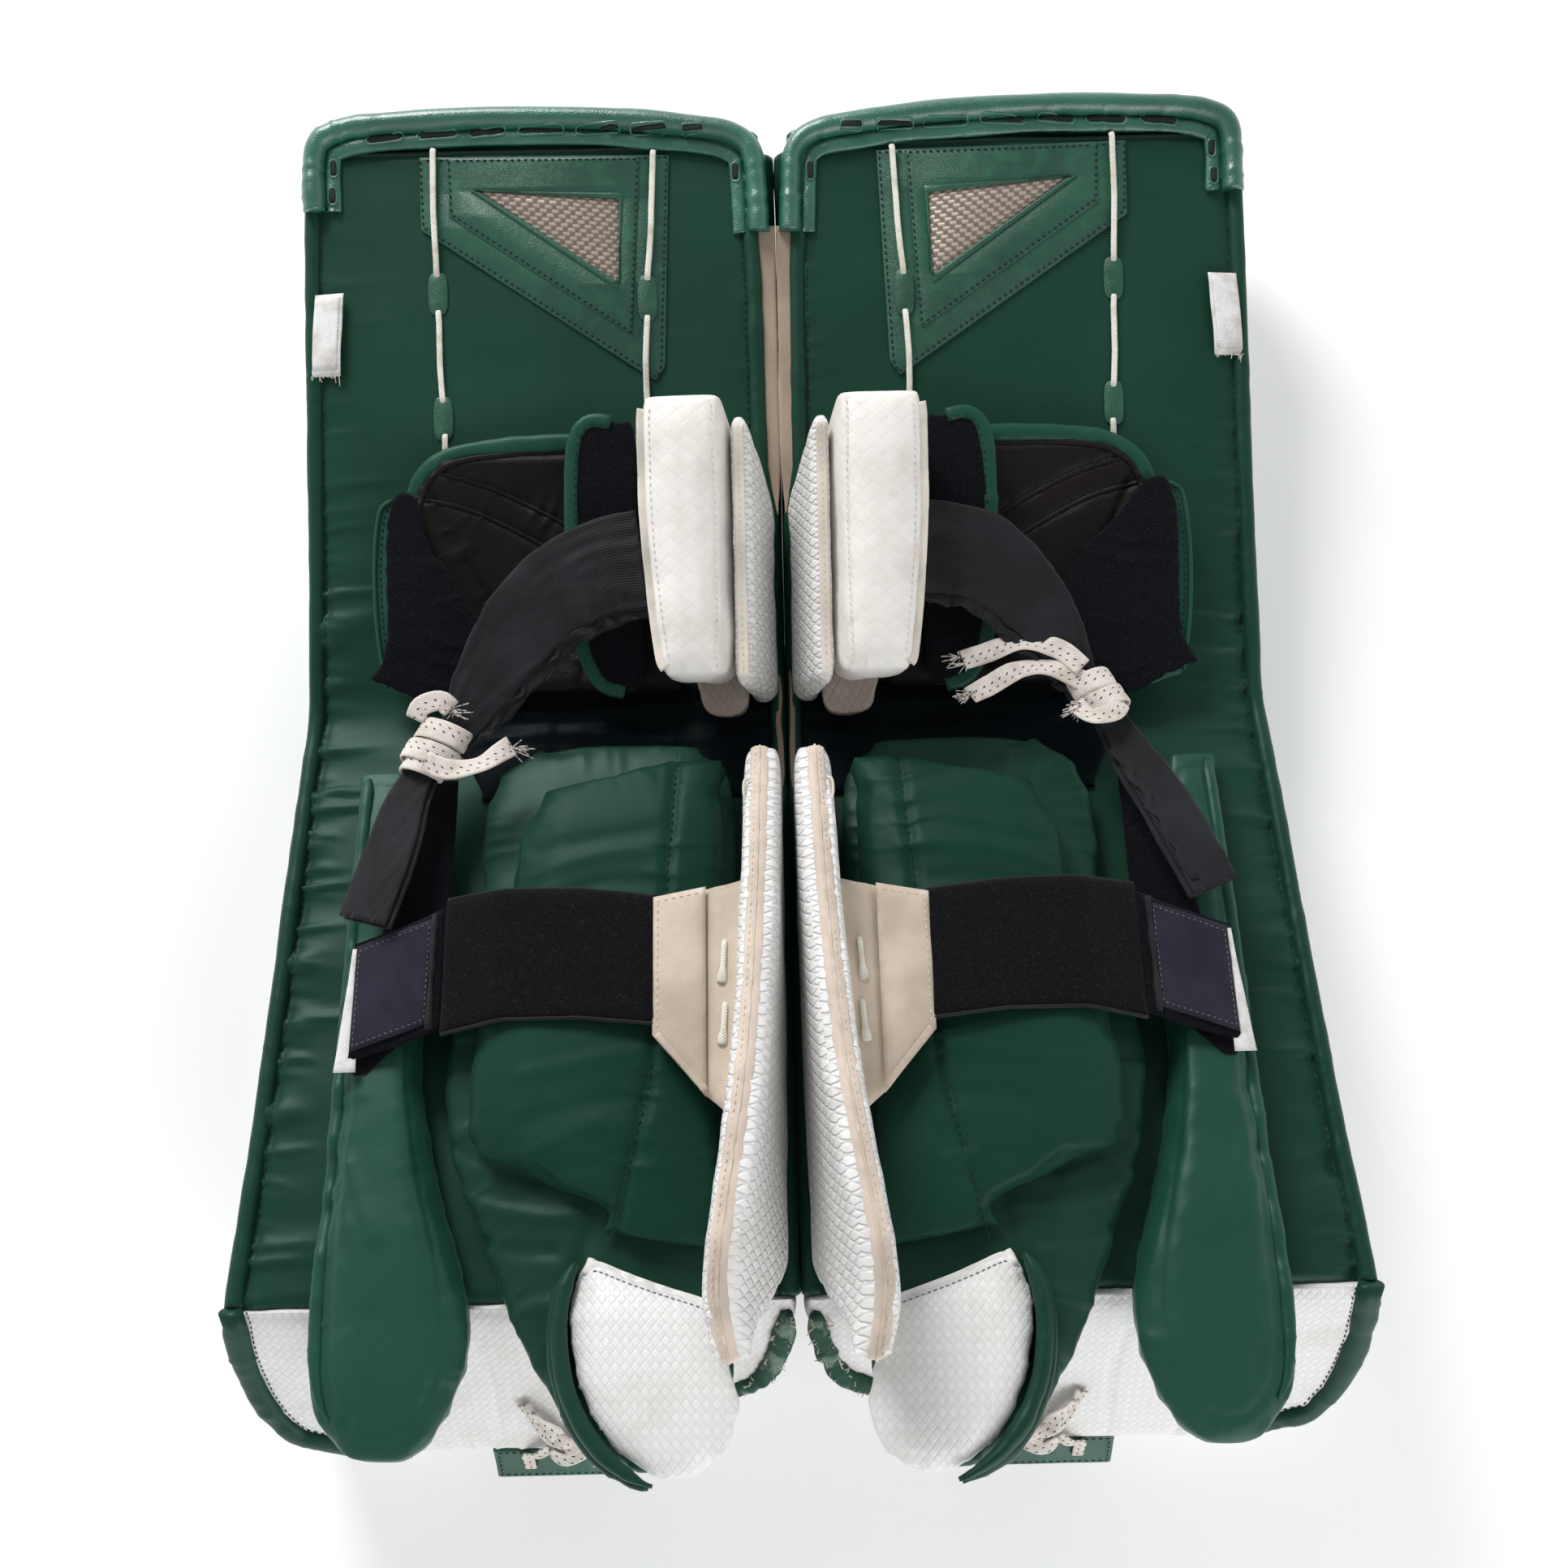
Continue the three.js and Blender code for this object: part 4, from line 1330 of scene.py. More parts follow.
def build_cuff_slot_shade(side, cuff, seed):
    """Near-black strips that dip down into slots along the cuff's lap: painted shade inside the
    slots.
    """
    add = placer(side, THIGH, "thigh")
    rng = np.random.default_rng(seed)
    runs = [(-238, -216), (-208, -184), (-178, -156), (-149, -122), (-115, -89), (-83, -61),
            (-53, -40)]
    segments = []
    for start, end in runs:
        x = np.linspace(start, end, 9)
        bow = 6.2 + 3.2 * ((x + 142) / 100) ** 2
        bow = bow + rng.uniform(-0.5, 0.5) + np.linspace(0.9, -0.9, 9) * rng.uniform(0.2, 1)
        segments.append(np.c_[x, bow, np.zeros(9)])
    for x0, s0, s1 in ((-258, 20, 30), (-259, 36, 46), (-22, 27, 38)):
        s = np.linspace(s0, s1, 7)
        segments.append(np.c_[np.full(7, x0), s, np.zeros(7)])
    shapes = []
    for line in segments:
        line = drape(line, cuff, 0.1)
        line[0, 2] -= 1.6
        line[-1, 2] -= 1.6
        shapes.append(sweep(line, oval(3.8, 2.0, 8), width=[0.5] + [1] * (len(line) - 2) + [0.5]))
    # the strips' near-black colour is painted shade inside the slots
    add("cuff_lacing", joined(shapes), "dark_lace")
    lips = []
    for line in segments:
        line = drape(line, cuff, 0.0) + (0, 0.4, 0)
        ring = np.vstack([line + (0, -2.3, 0), line[::-1] + (0, 2.3, 0)])
        if abs(line[0, 0] - line[-1, 0]) < 2:
            ring = np.vstack([line + (-2.3, 0, 0), line[::-1] + (2.3, 0, 0)])
        ring = rounded(closed_loop(ring, 2.0), 1)
        lips.append(sweep(drape(ring, cuff, 0.1), oval(1.5, 1.3, 6), closed=True))
    add("cuff_slots", joined(lips), "cuff")


PATCH_OUTLINE = [(-208, 19), (-208, 62), (-72, 154), (-66, 145), (-61, 21)]
PATCH_WINDOW = [(-174, 40), (-91, 47), (-92, 96)]
PATCH_PANEL = [(-191, 20), (-191, 55), (-85, 127), (-78, 22)]


def build_patch(side):
    """Three layers of thin leather over the woven insert, sewn along their edges."""
    add = placer(side, THIGH, "thigh")
    base = plate(PATCH_OUTLINE, 0.3, 1.7, 0.5, PATCH_WINDOW)
    add("patch_base", base, "patch", "thigh_patch")
    panel = plate(PATCH_PANEL, 1.5, 2.6, 0.45, PATCH_WINDOW)
    add("patch_panel", panel, "patch")
    outer_frame = offset_loop(np.array(PATCH_WINDOW, float), -4.5)
    window_frame = plate(outer_frame, 2.3, 3.4, 0.5, PATCH_WINDOW)
    add("patch_window_frame", window_frame, "patch")
    insert = plate(offset_loop(np.array(PATCH_WINDOW, float), -1.0), 0.8, 1.9, 0.1)
    turn = math.radians(-6)
    x, s = insert.uv.T
    insert.uv = np.c_[x * math.cos(turn) - s * math.sin(turn),
                      x * math.sin(turn) + s * math.cos(turn)]
    add("patch_insert", insert, "silver", "weave_insert")
    lines = []
    for outline, distance, height in ((PATCH_OUTLINE, 2.2, 1.7), (PATCH_PANEL, 2.0, 2.6)):
        loop = closed_loop(offset_loop(np.array(outline, float), distance), 1.0)
        lines.append(stitches(at_height(loop, height), 2.8, 1.3, 0.55, True))
    add("patch_stitches", joined(lines), "black_thread")


def dipping_lace(points, dip=3.2):
    """A length of lace whose two ends go down through the cover."""
    path = curve(points, 2.0)
    depth = np.minimum(np.arange(len(path)), np.arange(len(path))[::-1]) * 2.0
    path[:, 2] -= dip * np.clip(1 - depth / 3.4, 0, 1) ** 1.5
    wander = 0.35 * smooth_noise(path[:, 1] / 13, 5)
    path[:, 0] += wander
    return sweep(path, oval(3.5, 2.1, 10, 0.8))


def build_laces(side):
    """The two white laces, and the small leather guards at the slots they go down through."""
    add = placer(side, THIGH, "thigh")
    on_patch = 4.4
    on_cover = 1.6
    outer = [[(-199, 16, 8), (-199.5, 22, on_patch), (-199.5, 60, on_patch), (-199, 91, on_cover)],
             [(-199, 108, on_cover), (-198.5, 140, on_cover), (-197.5, 165, on_cover)],
             [(-197, 181, on_cover), (-197, 196, on_cover)]]
    inner = [[(-70, 20, 8), (-70.5, 27, on_patch), (-72, 60, on_patch), (-75, 96, on_patch)],
             [(-76, 115, on_patch), (-77, 138, on_patch), (-77.5, 166, on_cover),
              (-78, 184, on_cover)]]
    for name, lines, node in (("outer_lacing", outer, "outer_lace"),
                              ("inner_lacing", inner, "inner_lace")):
        shapes = [dipping_lace(line) for line in lines]
        add(name, joined(shapes), "lace", node)
    guards = []
    for x, start, end, low in ((-199, 87, 112, 0.2), (-197.5, 160, 186, 0.2),
                               (-75.5, 92, 119, 2.4)):
        a = np.linspace(0, 2 * math.pi, 36, endpoint=False)
        c, s = np.cos(a), np.sin(a)
        outline = np.c_[x + 5.8 * np.sign(c) * np.abs(c) ** 0.55,
                        (start + end) / 2 + (end - start) / 2 * np.sign(s) * np.abs(s) ** 0.6]
        guards.append(plate(outline, low, low + 1.1, 0.4, corners=False))
    add("lace_guards", joined(guards), "patch")


def build_tag(side, seed):
    """A plain folded white tag sewn into the outer edge, with a frayed lower end."""
    add = placer(side, THIGH, "thigh")

    def height(x, s):
        bow = 1.4 * np.sin((s - 99) / 46 * math.pi) + 0.9 * np.sin(s / 5.0) * (x + 271) / 20
        return 1.6 + bow + 0.14 * (x + 271)

    lean = lambda s: (s - 99) * 0.07
    layers = [sheet(lambda s: -271 - lean(s), lambda s: -253.5 - lean(s), 99, 147, 0.8, height),
              sheet(lambda s: -270.5 - lean(s), lambda s: -255.5 - lean(s), 101, 143, 0.7,
                    lambda x, s: height(x, s) + 0.9)]
    add("side_tag", joined(layers), "tag", "edge_tag")
    line = np.array([(-274 + k, 147 + 0.2 * (k % 3), 3.0) for k in range(17)], float)
    add("tag_threads", frayed(line, seed, 12, 2.6, 0.25), "white_thread")


def build_cradle(side, seed):
    """The knee cradle: a dark lined hollow with a green rolled rim."""
    add = placer(side, THIGH, "thigh")
    liner = puffed("left_knee_liner", THIGH, voxel=3.5, cap=2.5, shrink=1.0, smoothing=4)
    seams = [curve([(-204, 206, 7), (-165, 218, 7), (-118, 243, 7), (-92, 262, 7)]),
             curve([(-214, 221, 7), (-176, 231, 7), (-128, 257, 7), (-96, 278, 7)]),
             curve([(-206, 214, 7), (-190, 250, 7), (-166, 292, 7), (-140, 326, 7)]),
             curve([(-72, 200, 7), (-90, 250, 7), (-110, 300, 7), (-120, 336, 7)])]
    hollow = liner.v[:, 2] > 2
    d = np.hypot((liner.v[:, 0] + 140) / 70, (liner.v[:, 1] - 268) / 62)
    liner.v[:, 2] += np.where(hollow, 3.4 * np.clip(d, 0, 1.2) ** 2 - 2.2, 0)
    for k, seam in enumerate(seams):
        seam[:, 2] = drape(seam, liner)[:, 2]
        groove(liner, seam, 1.5, 2.2)
        pucker(liner, seam, 0.9, 13, 9, seed + k)
    liner.v[:, 2] = np.maximum(liner.v[:, 2], 0.6)
    add("cradle_liner", liner, "liner", "knee_liner")
    rolls = [sweep(drape(s, liner, 0.0), oval(3.0, 2.4, 8)) for s in seams[:2]]
    add("cradle_seam_cords", joined(rolls), "liner")
    rim_line = curve([(-214, 262, 7), (-216, 236, 9), (-213, 219, 10.5), (-205, 206, 11.5),
                      (-189, 197, 12), (-160, 192.5, 12), (-122, 191.5, 12), (-90, 192, 11),
                      (-72, 193, 9)])
    size = 1 + 0.08 * smooth_noise(np.arange(len(rim_line)) / 3.1, seed)
    rim_roll = sweep(rim_line, oval(10.5, 7.6, 16, 0.85), width=size)
    pucker(rim_roll, rim_line + (0, 2, 4), 1.0, 7, 7, seed + 9)
    add("cradle_rim", rim_roll, "binding")
    wall = rim_line + (0, 1.5, -6.5)
    skirt = sweep(wall, oval(5.5, 13, 12, 0.7))
    add("cradle_wall", skirt, "dark_nylon")
    inside = inset_path(rim_line, 5.2, (-140, 262))
    inside[:, 2] = drape(inside, liner)[:, 2]
    cord = sweep(inside, oval(4.0, 4.0, 8))
    add("cradle_inner_cord", cord, "liner")


def build_crease_shade_sheet(side, seed):
    """A near-black sheet over the crease between the cradle and the calf wraps: painted shade of the
    recess.
    """
    add = placer(side, LEG, "thigh")
    left = lambda s: np.interp(s, (332, 352, 398), (-205, -200, -176))
    right = lambda s: np.interp(s, (332, 398), (-9, -9))
    cloth = sheet(left, right, 334, 404, 1.6, lambda x, s: 1.2 + 0 * x, 2.5, 60)
    lines = [curve([(-196, 344, 2), (-140, 350, 2), (-80, 346, 2), (-14, 352, 2)]),
             curve([(-190, 366, 2), (-130, 362, 2), (-60, 368, 2), (-14, 364, 2)])]
    for k, line in enumerate(lines):
        groove(cloth, line, -1.8, 4.0)
        pucker(cloth, line, 1.2, 16, 12, seed + k)
    cloth.v[:, 2] = np.maximum(cloth.v[:, 2], 0.9)
    # the sheet's near-black colour is painted shade of the crease
    add("knee_gusset", cloth, "navy_cloth", blend=CREASE_BLEND)


def inset_path(path, distance, middle):
    """An open path moved sideways towards a middle point."""
    t = np.gradient(path, axis=0)
    n = np.c_[-t[:, 1], t[:, 0], np.zeros(len(t))]
    n /= np.maximum(np.linalg.norm(n, axis=1), 1e-9)[:, None]
    toward = np.array([middle[0], middle[1], 0.0]) - path
    n *= np.where(np.sum(n[:, :2] * toward[:, :2], axis=1) > 0, 1, -1)[:, None]
    return path + n * distance


FLEECE_EDGE = {
    "left": [(-207, 232), (-203, 250), (-190, 272), (-176, 294), (-171, 308), (-174, 322),
             (-190, 338), (-203, 343)],
    "right": [(-203, 231), (-188, 247), (-170, 266), (-157, 286), (-154, 304), (-160, 322),
              (-178, 337), (-198, 345)],
}


def build_outer_flap(side, seed):
    """The outer knee flap: a green panel faced with ragged fleece."""
    add = placer(side, THIGH, "outer_flap")
    green = plate(curve([(-234, 233), (-229, 226), (-220, 224), (-215, 228), (-211, 262),
                         (-204, 334), (-224, 336), (-231, 330), (-236, 300), (-237, 262)],
                        2.0, True), 15.4, 18.2, 0.8, corners=False)
    add("outer_flap_panel", green, "binding")
    outline = [(-222, 221), (-212, 222), *FLEECE_EDGE[side], (-215, 338), (-232, 330),
               (-239, 327), (-233, 318), (-229, 300), (-229, 262), (-228, 236)]
    loop = curve(outline, 2.0, True)
    rng = np.random.default_rng(seed)
    ragged = loop + rng.normal(0, 0.45, loop.shape)
    fleece = puffed_plate(ragged, 18.0, 21.6, seed)
    pucker(fleece, np.array([(-200, 250, 21.0), (-190, 300, 21.0), (-200, 338, 21.0)]), 0.8, 22,
           13, seed)
    add("outer_flap_fleece", fleece, "fleece", "outer_knee_flap")
    trim = curve([(-224, 225, 18.6), (-231, 231, 18.6), (-234.5, 262, 18.6),
                  (-233.5, 300, 18.6), (-229, 332, 18.6)])
    sewn = joined([stitches(inset_path(trim, 2.2, (-190, 280)), 2.6, 1.6, 0.4)])
    add("outer_flap_stitches", sewn, "black_thread")
    edge = sweep(inset_path(trim, -1.2, (-190, 280)), oval(2.4, 3.2, 8))
    add("outer_flap_edging", edge, "binding")


def build_inner_flap(side, seed):
    """The inner knee flap: a thick fleece with a bound edge."""
    add = placer(side, THIGH, "inner_flap")
    outline = [(-117, 190), (-113, 184), (-105, 182), (-93, 184), (-83, 190), (-82, 262),
               (-82, 330), (-95, 338), (-105, 335), (-114, 320), (-118, 306), (-119, 280),
               (-121, 250), (-121, 220)]
    inner = puffed_plate(curve(outline, 2.2, True), 24.4, 28.6, seed + 3)
    add("inner_flap_pile", inner, "fleece", "inner_knee_flap")
    line = curve([(-96, 184, 27.4), (-107, 182.5, 27.4), (-115, 188, 27.4), (-119, 203, 27.2),
                  (-120, 228, 27), (-120, 252, 27), (-119, 280, 27), (-117, 304, 27),
                  (-112, 322, 27), (-104, 334, 27), (-92, 338, 26.6)])
    trim = sweep(line, oval(8.6, 5.4, 14, 0.8))
    pucker(trim, line, 0.7, 7, 6, seed + 4)
    add("inner_flap_binding", trim, "binding")
    seam = drape(inset_path(line, 2.6, (-96, 262)), trim)
    add("inner_flap_stitches", stitches(seam, 2.8, 1.6, 0.42), "black_thread")


def puffed_plate(loop, low, high, seed):
    """A thick cloth patch: a cut outline filled with an even mesh and a soft, lumpy top."""
    base = plate(np.asarray(loop, float)[:, :2], low, high, 0.9, corners=False)
    obj = remeshed(base.v, base.f, 1.5)
    relax = obj.modifiers.new("relax", "SMOOTH")
    relax.iterations = 2
    v, faces = mesh_data(applied(obj))
    bpy.data.objects.remove(obj)
    return roughen(Shape(v, faces), 0.5, 16, seed)


LEAN = 6.0
TOP_REACH = 5.5
# how much further out each block's outer side stands
BLOCK_REACH = {"left": 2.5, "right": 5.0}


def build_knee_block(side, seed):
    """The knee block: stuffed white leather with a sewn edge, and the foot it stands on."""
    add = placer(side, THIGH, "stack")
    block = puffed("left_knee_block", THIGH, cap=4.5, shrink=3.5, smoothing=7)
    top = rim("left_knee_block", THIGH, step=2.5, smoothing=10)
    x, s, h = block.v.T
    shoulder, seam_x = -29.0, -36.5
    high = part_way(h, 40, 85)
    block.v[:, 2] -= high * 1.9 * np.maximum(0, x - shoulder)
    corner = np.maximum(0, np.abs(s - 261) - 58) / 17
    block.v[:, 2] -= high * 4.0 * corner ** 2
    block.v[:, 0] -= LEAN * h / 78 * part_way(x, -60, -21)
    block.v[:, 0] += 9.0 * part_way(s, 236, 336) ** 1.6 * part_way(x, -42, -72)
    block.v[:, 1] -= TOP_REACH * high * part_way(s, 236, 186)
    block.v[:, 0] -= BLOCK_REACH[side] * part_way(x, -50, -65)
    seam = np.array([(seam_x + 1.2 * math.sin((s - 190) / 140 * math.pi), s, 93)
                     for s in np.arange(188, 332, 2.5)])
    seam = drape(seam, block)
    groove(block, seam, 0.9, 1.5)
    pucker(block, inset(top, 4.0), 0.5, 10, 8, seed, closed=True)
    pucker(block, seam, 0.3, 10, 9, seed + 2)
    roughen(block, 0.7, 34, seed + 3)
    add("knee_block_skin", block, "block", "knee_block")
    left = -46 - BLOCK_REACH[side]
    # the foot's dark colour is painted shade under the knee block
    foot = puffed_plate(curve([(left, 330), (-24, 330), (-21, 341), (-24, 351), (-34, 354),
                               (left + 4, 351), (left, 341)], 2.0, True), 9.0, 34.0, seed + 4)
    add("knee_block_foot", foot, "foot")
    outer_side = part_of(top, lambda p: p[0] < -66 and 192 < p[1] < 332)
    outer_side[:, 0] += 9.0 * part_way(outer_side[:, 1], 236, 336) ** 1.6
    outer_side[:, 0] -= BLOCK_REACH[side]
    outer_side[:, 1] -= TOP_REACH * part_way(outer_side[:, 1], 236, 186)
    edge = drape(inset_path(outer_side, 4.2, (-30, 262)), block, 0.15)
    tape = sweep(edge, band(7.4, 0.9, 8))
    pucker(tape, edge, 0.35, 6, 4.2, seed + 5)
    add("knee_block_binding", tape, "bone")
    ladder = drape(inset_path(outer_side, 7.6, (-30, 262)), block, 0.3)
    sewn = [stitches(ladder, 2.6, 1.6, 0.34), stitches(seam, 2.6, 1.4, 0.3)]
    add("knee_block_stitches", joined(sewn), "white_thread")


def build_knee_wedge(side, seed):
    """The wedge beside the knee block, with a bound top edge."""
    add = placer(side, THIGH, "stack")
    wedge = puffed("left_knee_wedge", THIGH, pressure=3, cap=2.0, shrink=1.5, smoothing=5)
    loop = rim("left_knee_wedge", THIGH, axis=0, sign=-1, step=2.5, smoothing=6)
    pucker(wedge, loop, 0.6, 10, 8, seed + 6, closed=True)
    roughen(wedge, 0.4, 24, seed + 7)
    rise = np.clip(wedge.v[:, 2] / 78, 0, 1.05)
    wedge.v[:, 0] = -12 - 11.0 * rise + (wedge.v[:, 0] + 12) * (1 - 0.36 * rise)
    deep = np.clip(1 - rise, 0, 1)
    inward = np.clip((wedge.v[:, 0] + 12 + 11.0 * rise) / 6, 0, 1)
    wedge.v[:, 0] += 2.6 * inward * deep
    wedge.v[:, 1] -= TOP_REACH * rise * part_way(wedge.v[:, 1], 240, 196)
    wedge.v[:, 1] += 36.0 * deep ** 1.2 * part_way(wedge.v[:, 1], 262, 202)
    wedge.v[:, 1] += 8.0 * deep * part_way(wedge.v[:, 1], 290, 338)
    add("knee_wedge_skin", wedge, "white", "knee_wedge")
    over_top = np.array([(-22.6, s, 80) for s in np.arange(197, 335, 2.5)])
    over_top = drape(over_top, wedge, 0.2)
    strip = sweep(over_top, band(6, 1.0, 8))
    add("knee_wedge_binding", strip, "bone")
    add("knee_wedge_stitches", stitches(over_top + (0, 0, 0.9), 2.4, 1.4, 0.34), "white_thread")


# ---------------------------------------------------------------- elastics and knots

def strap_between(points, widths, thickness, seed, ripple=0.6, columns=18):
    """A soft strap along control points, with widths at its ends and a few lengthwise ripples."""
    path = curve(points, 2.5)
    t = np.linspace(0, 1, len(path))
    width = np.interp(t, np.linspace(0, 1, len(widths)), widths)
    shape = sweep(path, band(1.0, thickness, columns), width=width,
                  height=np.ones(len(path)))
    across = np.abs(shape.uv[:, 1])
    shape.v[:, 2] += ripple * smooth_noise(shape.uv[:, 1] / 4.5 + 20, seed) \
        * smooth_noise(shape.uv[:, 0] / 28 + 20, seed + 1)
    shape.v[:, 2] += 0.3 * smooth_noise(across + shape.uv[:, 0] / 3, seed + 2)
    return shape


ELASTIC_UPPER = {
    "left": [(-78, 266, 51), (-104, 270, 51), (-135, 288, 48), (-163, 322, 45), (-193, 372, 42)],
    "right": [(-78, 262, 51), (-104, 266, 51), (-128, 282, 48), (-148, 304, 45),
              (-172, 346, 42)],
}
ELASTIC_LOWER = {
    "left": [(-201, 398, 42), (-210, 420, 43), (-216, 446, 44), (-227, 488, 47)],
    "right": [(-180, 376, 42), (-192, 402, 42), (-206, 430, 44), (-226, 480, 47)],
}
KNOT = {"left": (-196, 390, 42), "right": (-175, 364, 42)}
MIDDLE = 68.0
ELASTIC_HEM = {
    "left": [(-82, 296, 48.5), (-106, 301, 48.5), (-134, 321, 46), (-156, 345, 44),
             (-182, 376, 42.5)],
    "right": [(-82, 291, 48.5), (-103, 295, 48.5), (-122, 309, 46.5), (-138, 326, 45),
              (-162, 350, 42.5)],
}
HEM_WAVE = {"left": 4.2, "right": 2.3}


def cut_across(shape, distance):
    """A swept strap as the stretch up to a distance along it and the stretch beyond it."""
    halves = []
    for beyond in (False, True):
        faces = [f for f in shape.f if (shape.uv[list(f), 0].mean() > distance) == beyond]
        used = sorted({i for f in faces for i in f})
        place = {i: k for k, i in enumerate(used)}
        halves.append(Shape(shape.v[used], [tuple(place[i] for i in f) for f in faces],
                            shape.uv[used]))
    return halves


def build_elastics(side, seed):
    """The knee straps: flat elastics that bunch up towards the knot that joins them."""
    on_thigh = placer(side, THIGH, "thigh")
    on_shin = placer(side, SHIN, "shin")
    route = ELASTIC_UPPER[side]
    widths = (56, 52, 46, 34, 13) if side == "left" else (52, 50, 42, 30, 12)
    main = strap_between(route, widths, 1.5, seed, 1.3, 26)
    lower = [(x - 1, s + 7 + 3 * k, h - 2.6) for k, (x, s, h) in enumerate(route[:-1])]
    lower.append((route[-1][0] + 1, route[-1][1] + 1, route[-1][2] - 1.6))
    under = strap_between(lower, tuple(w * 0.9 for w in widths), 1.4, seed + 3, 1.3, 26)
    for shape, swing in ((main, 1.2), (under, 2.6)):
        along, across = shape.uv.T
        free = np.clip(np.abs(across) / 14 - 0.6, 0, 1) * part_way(along, 0, 25)
        shape.v[:, 2] += free * swing * smooth_noise(along / 7 + 30, seed + 8)
        shape.v[:, 1] += free * swing * smooth_noise(along / 9 + 60, seed + 9)
    on_flap = ("inner_flap", *route[2:0:-1])
    to_knot = ("shin", route[3], route[4])
    for name, shape in (("upper_elastic", main), ("upper_elastic_fold", under)):
        nodes = ("elastic_upper",) if name == "upper_elastic" else ()
        near_block, near_knot = cut_across(shape, MIDDLE)
        on_thigh(name, near_block, "elastic", *nodes, blend=on_flap)
        on_thigh(name + "_tail", near_knot, "elastic", blend=to_knot)
    edge = curve(ELASTIC_HEM[side], 1.5)
    turns = np.arange(len(edge)) * 1.5 / HEM_WAVE[side]
    edge[:, 0] += 1.6 * np.sin(turns) + 0.8 * np.sin(2.7 * turns)
    edge[:, 1] += 1.6 * np.cos(turns)
    hem = sweep(edge, band(4.2, 1.0, 6), tilt=0.7 * np.sin(turns + 1))
    on_thigh("upper_elastic_hem", hem, "elastic", blend=on_flap)
    route = ELASTIC_LOWER[side]
    strap = strap_between(route, (15, 24, 27, 26), 1.5, seed + 5, 0.8)
    second = strap_between([(x + 2.5, s + 1.5, h - 2.2) for x, s, h in route], (14, 24, 27, 26),
                           1.4, seed + 6, 0.6)
    end = route[-1]
    blend = ("wing", (route[0][0], route[0][1] + 10, 42), (end[0], end[1] - 20, 45))
    on_shin("lower_elastic", strap, "elastic", "elastic_lower", blend=blend)
    on_shin("lower_elastic_fold", second, "elastic", blend=blend)
    if side == "right":
        edge = curve([(x + 12, s - 4, h + 1) for x, s, h in route[1:]])
        edge[:, 0] += 1.4 * np.sin(np.arange(len(edge)) * 1.1)
        ruffle = sweep(edge, band(5, 1.0, 6), tilt=0.5 * np.sin(np.arange(len(edge)) * 0.9))
        on_shin("elastic_frayed_edge", ruffle, "elastic", blend=blend)
    build_knot(side, seed)


def build_knot(side, seed):
    """White skate lace wound round the elastics and tied, with its loose ends."""
    add = placer(side, SHIN, "shin")
    cx, cs, ch = KNOT[side]
    along = np.array([-0.42, 0.9, 0.0])
    across = np.array([0.9, 0.42, 0.0])
    turns = 3.6 if side == "left" else 2.6
    t = np.linspace(0, turns * 2 * math.pi, int(turns * 34))
    share = t / t[-1]
    radius = (12.5 if side == "left" else 10.5) + 1.8 * np.sin(t * 0.5 + 1) + 0.9 * np.sin(t * 1.3)
    spread = 24 if side == "left" else 15
    centre = np.array([cx, cs, ch])
    path = (centre + along * ((share - 0.5) * spread)[:, None]
            + across * (radius * np.cos(t))[:, None]
            + np.array([0, 0, 1.0]) * (radius * 0.68 * np.sin(t) - 0.5)[:, None])
    up = path - (centre + along * ((share - 0.5) * spread)[:, None])
    wraps = sweep(path, band(12.5, 1.6, 14), up=up)
    pucker(wraps, path, 0.6, 5, 5, seed)
    add("knot_lace", wraps, "skate_lace", "lace_knot")
    shapes = []
    tops = {
        "left": [[(-206, 372, 48), (-202, 366, 52), (-192, 363, 52), (-186, 367, 49)],
                 [(-198, 399, 51), (-184, 405, 53), (-168, 402, 51), (-157, 394, 50),
                  (-151, 391, 52)]],
        "right": [[(-166, 352, 52), (-153, 340, 52), (-132, 336, 52), (-110, 343, 53),
                   (-99, 347, 54)],
                  [(-168, 360, 49), (-150, 351, 49), (-130, 352, 50), (-112, 362, 51),
                   (-102, 368, 52)],
                  [(-186, 372, 48), (-180, 380, 52), (-168, 382, 52), (-160, 374, 50)]],
    }[side]
    tips = []
    for k, line in enumerate(tops):
        path = curve(line, 2.0)
        sway = 0.35 * np.sin(np.arange(len(path)) / 4.0 + k)
        ribbon = sweep(path, band(11.5, 1.5, 14), tilt=sway)
        pucker(ribbon, path, 0.5, 5, 6, seed + k)
        shapes.append(ribbon)
        tips.append(path[-2:])
    threads = [frayed(tip + np.random.default_rng(seed + k).normal(0, 1.6, tip.shape),
                      seed + k, 22, 7.0, 0.3, (1, 0.4, 0.1)) for k, tip in enumerate(tips)]
    for name, loose in (("knot_ends", shapes), ("knot_threads", threads)):
        ends = add(name, joined(loose), "skate_lace")
        crumple(ends)


# ---------------------------------------------------------------- shin pieces

def tapered(count, head, tail):
    """Widths along a roll that grow from a thin head and die away into a thin tail."""
    at = np.arange(count)
    return np.clip(np.minimum((at + 1) / head, (count - at) / tail), 0.12, 1) ** 0.6


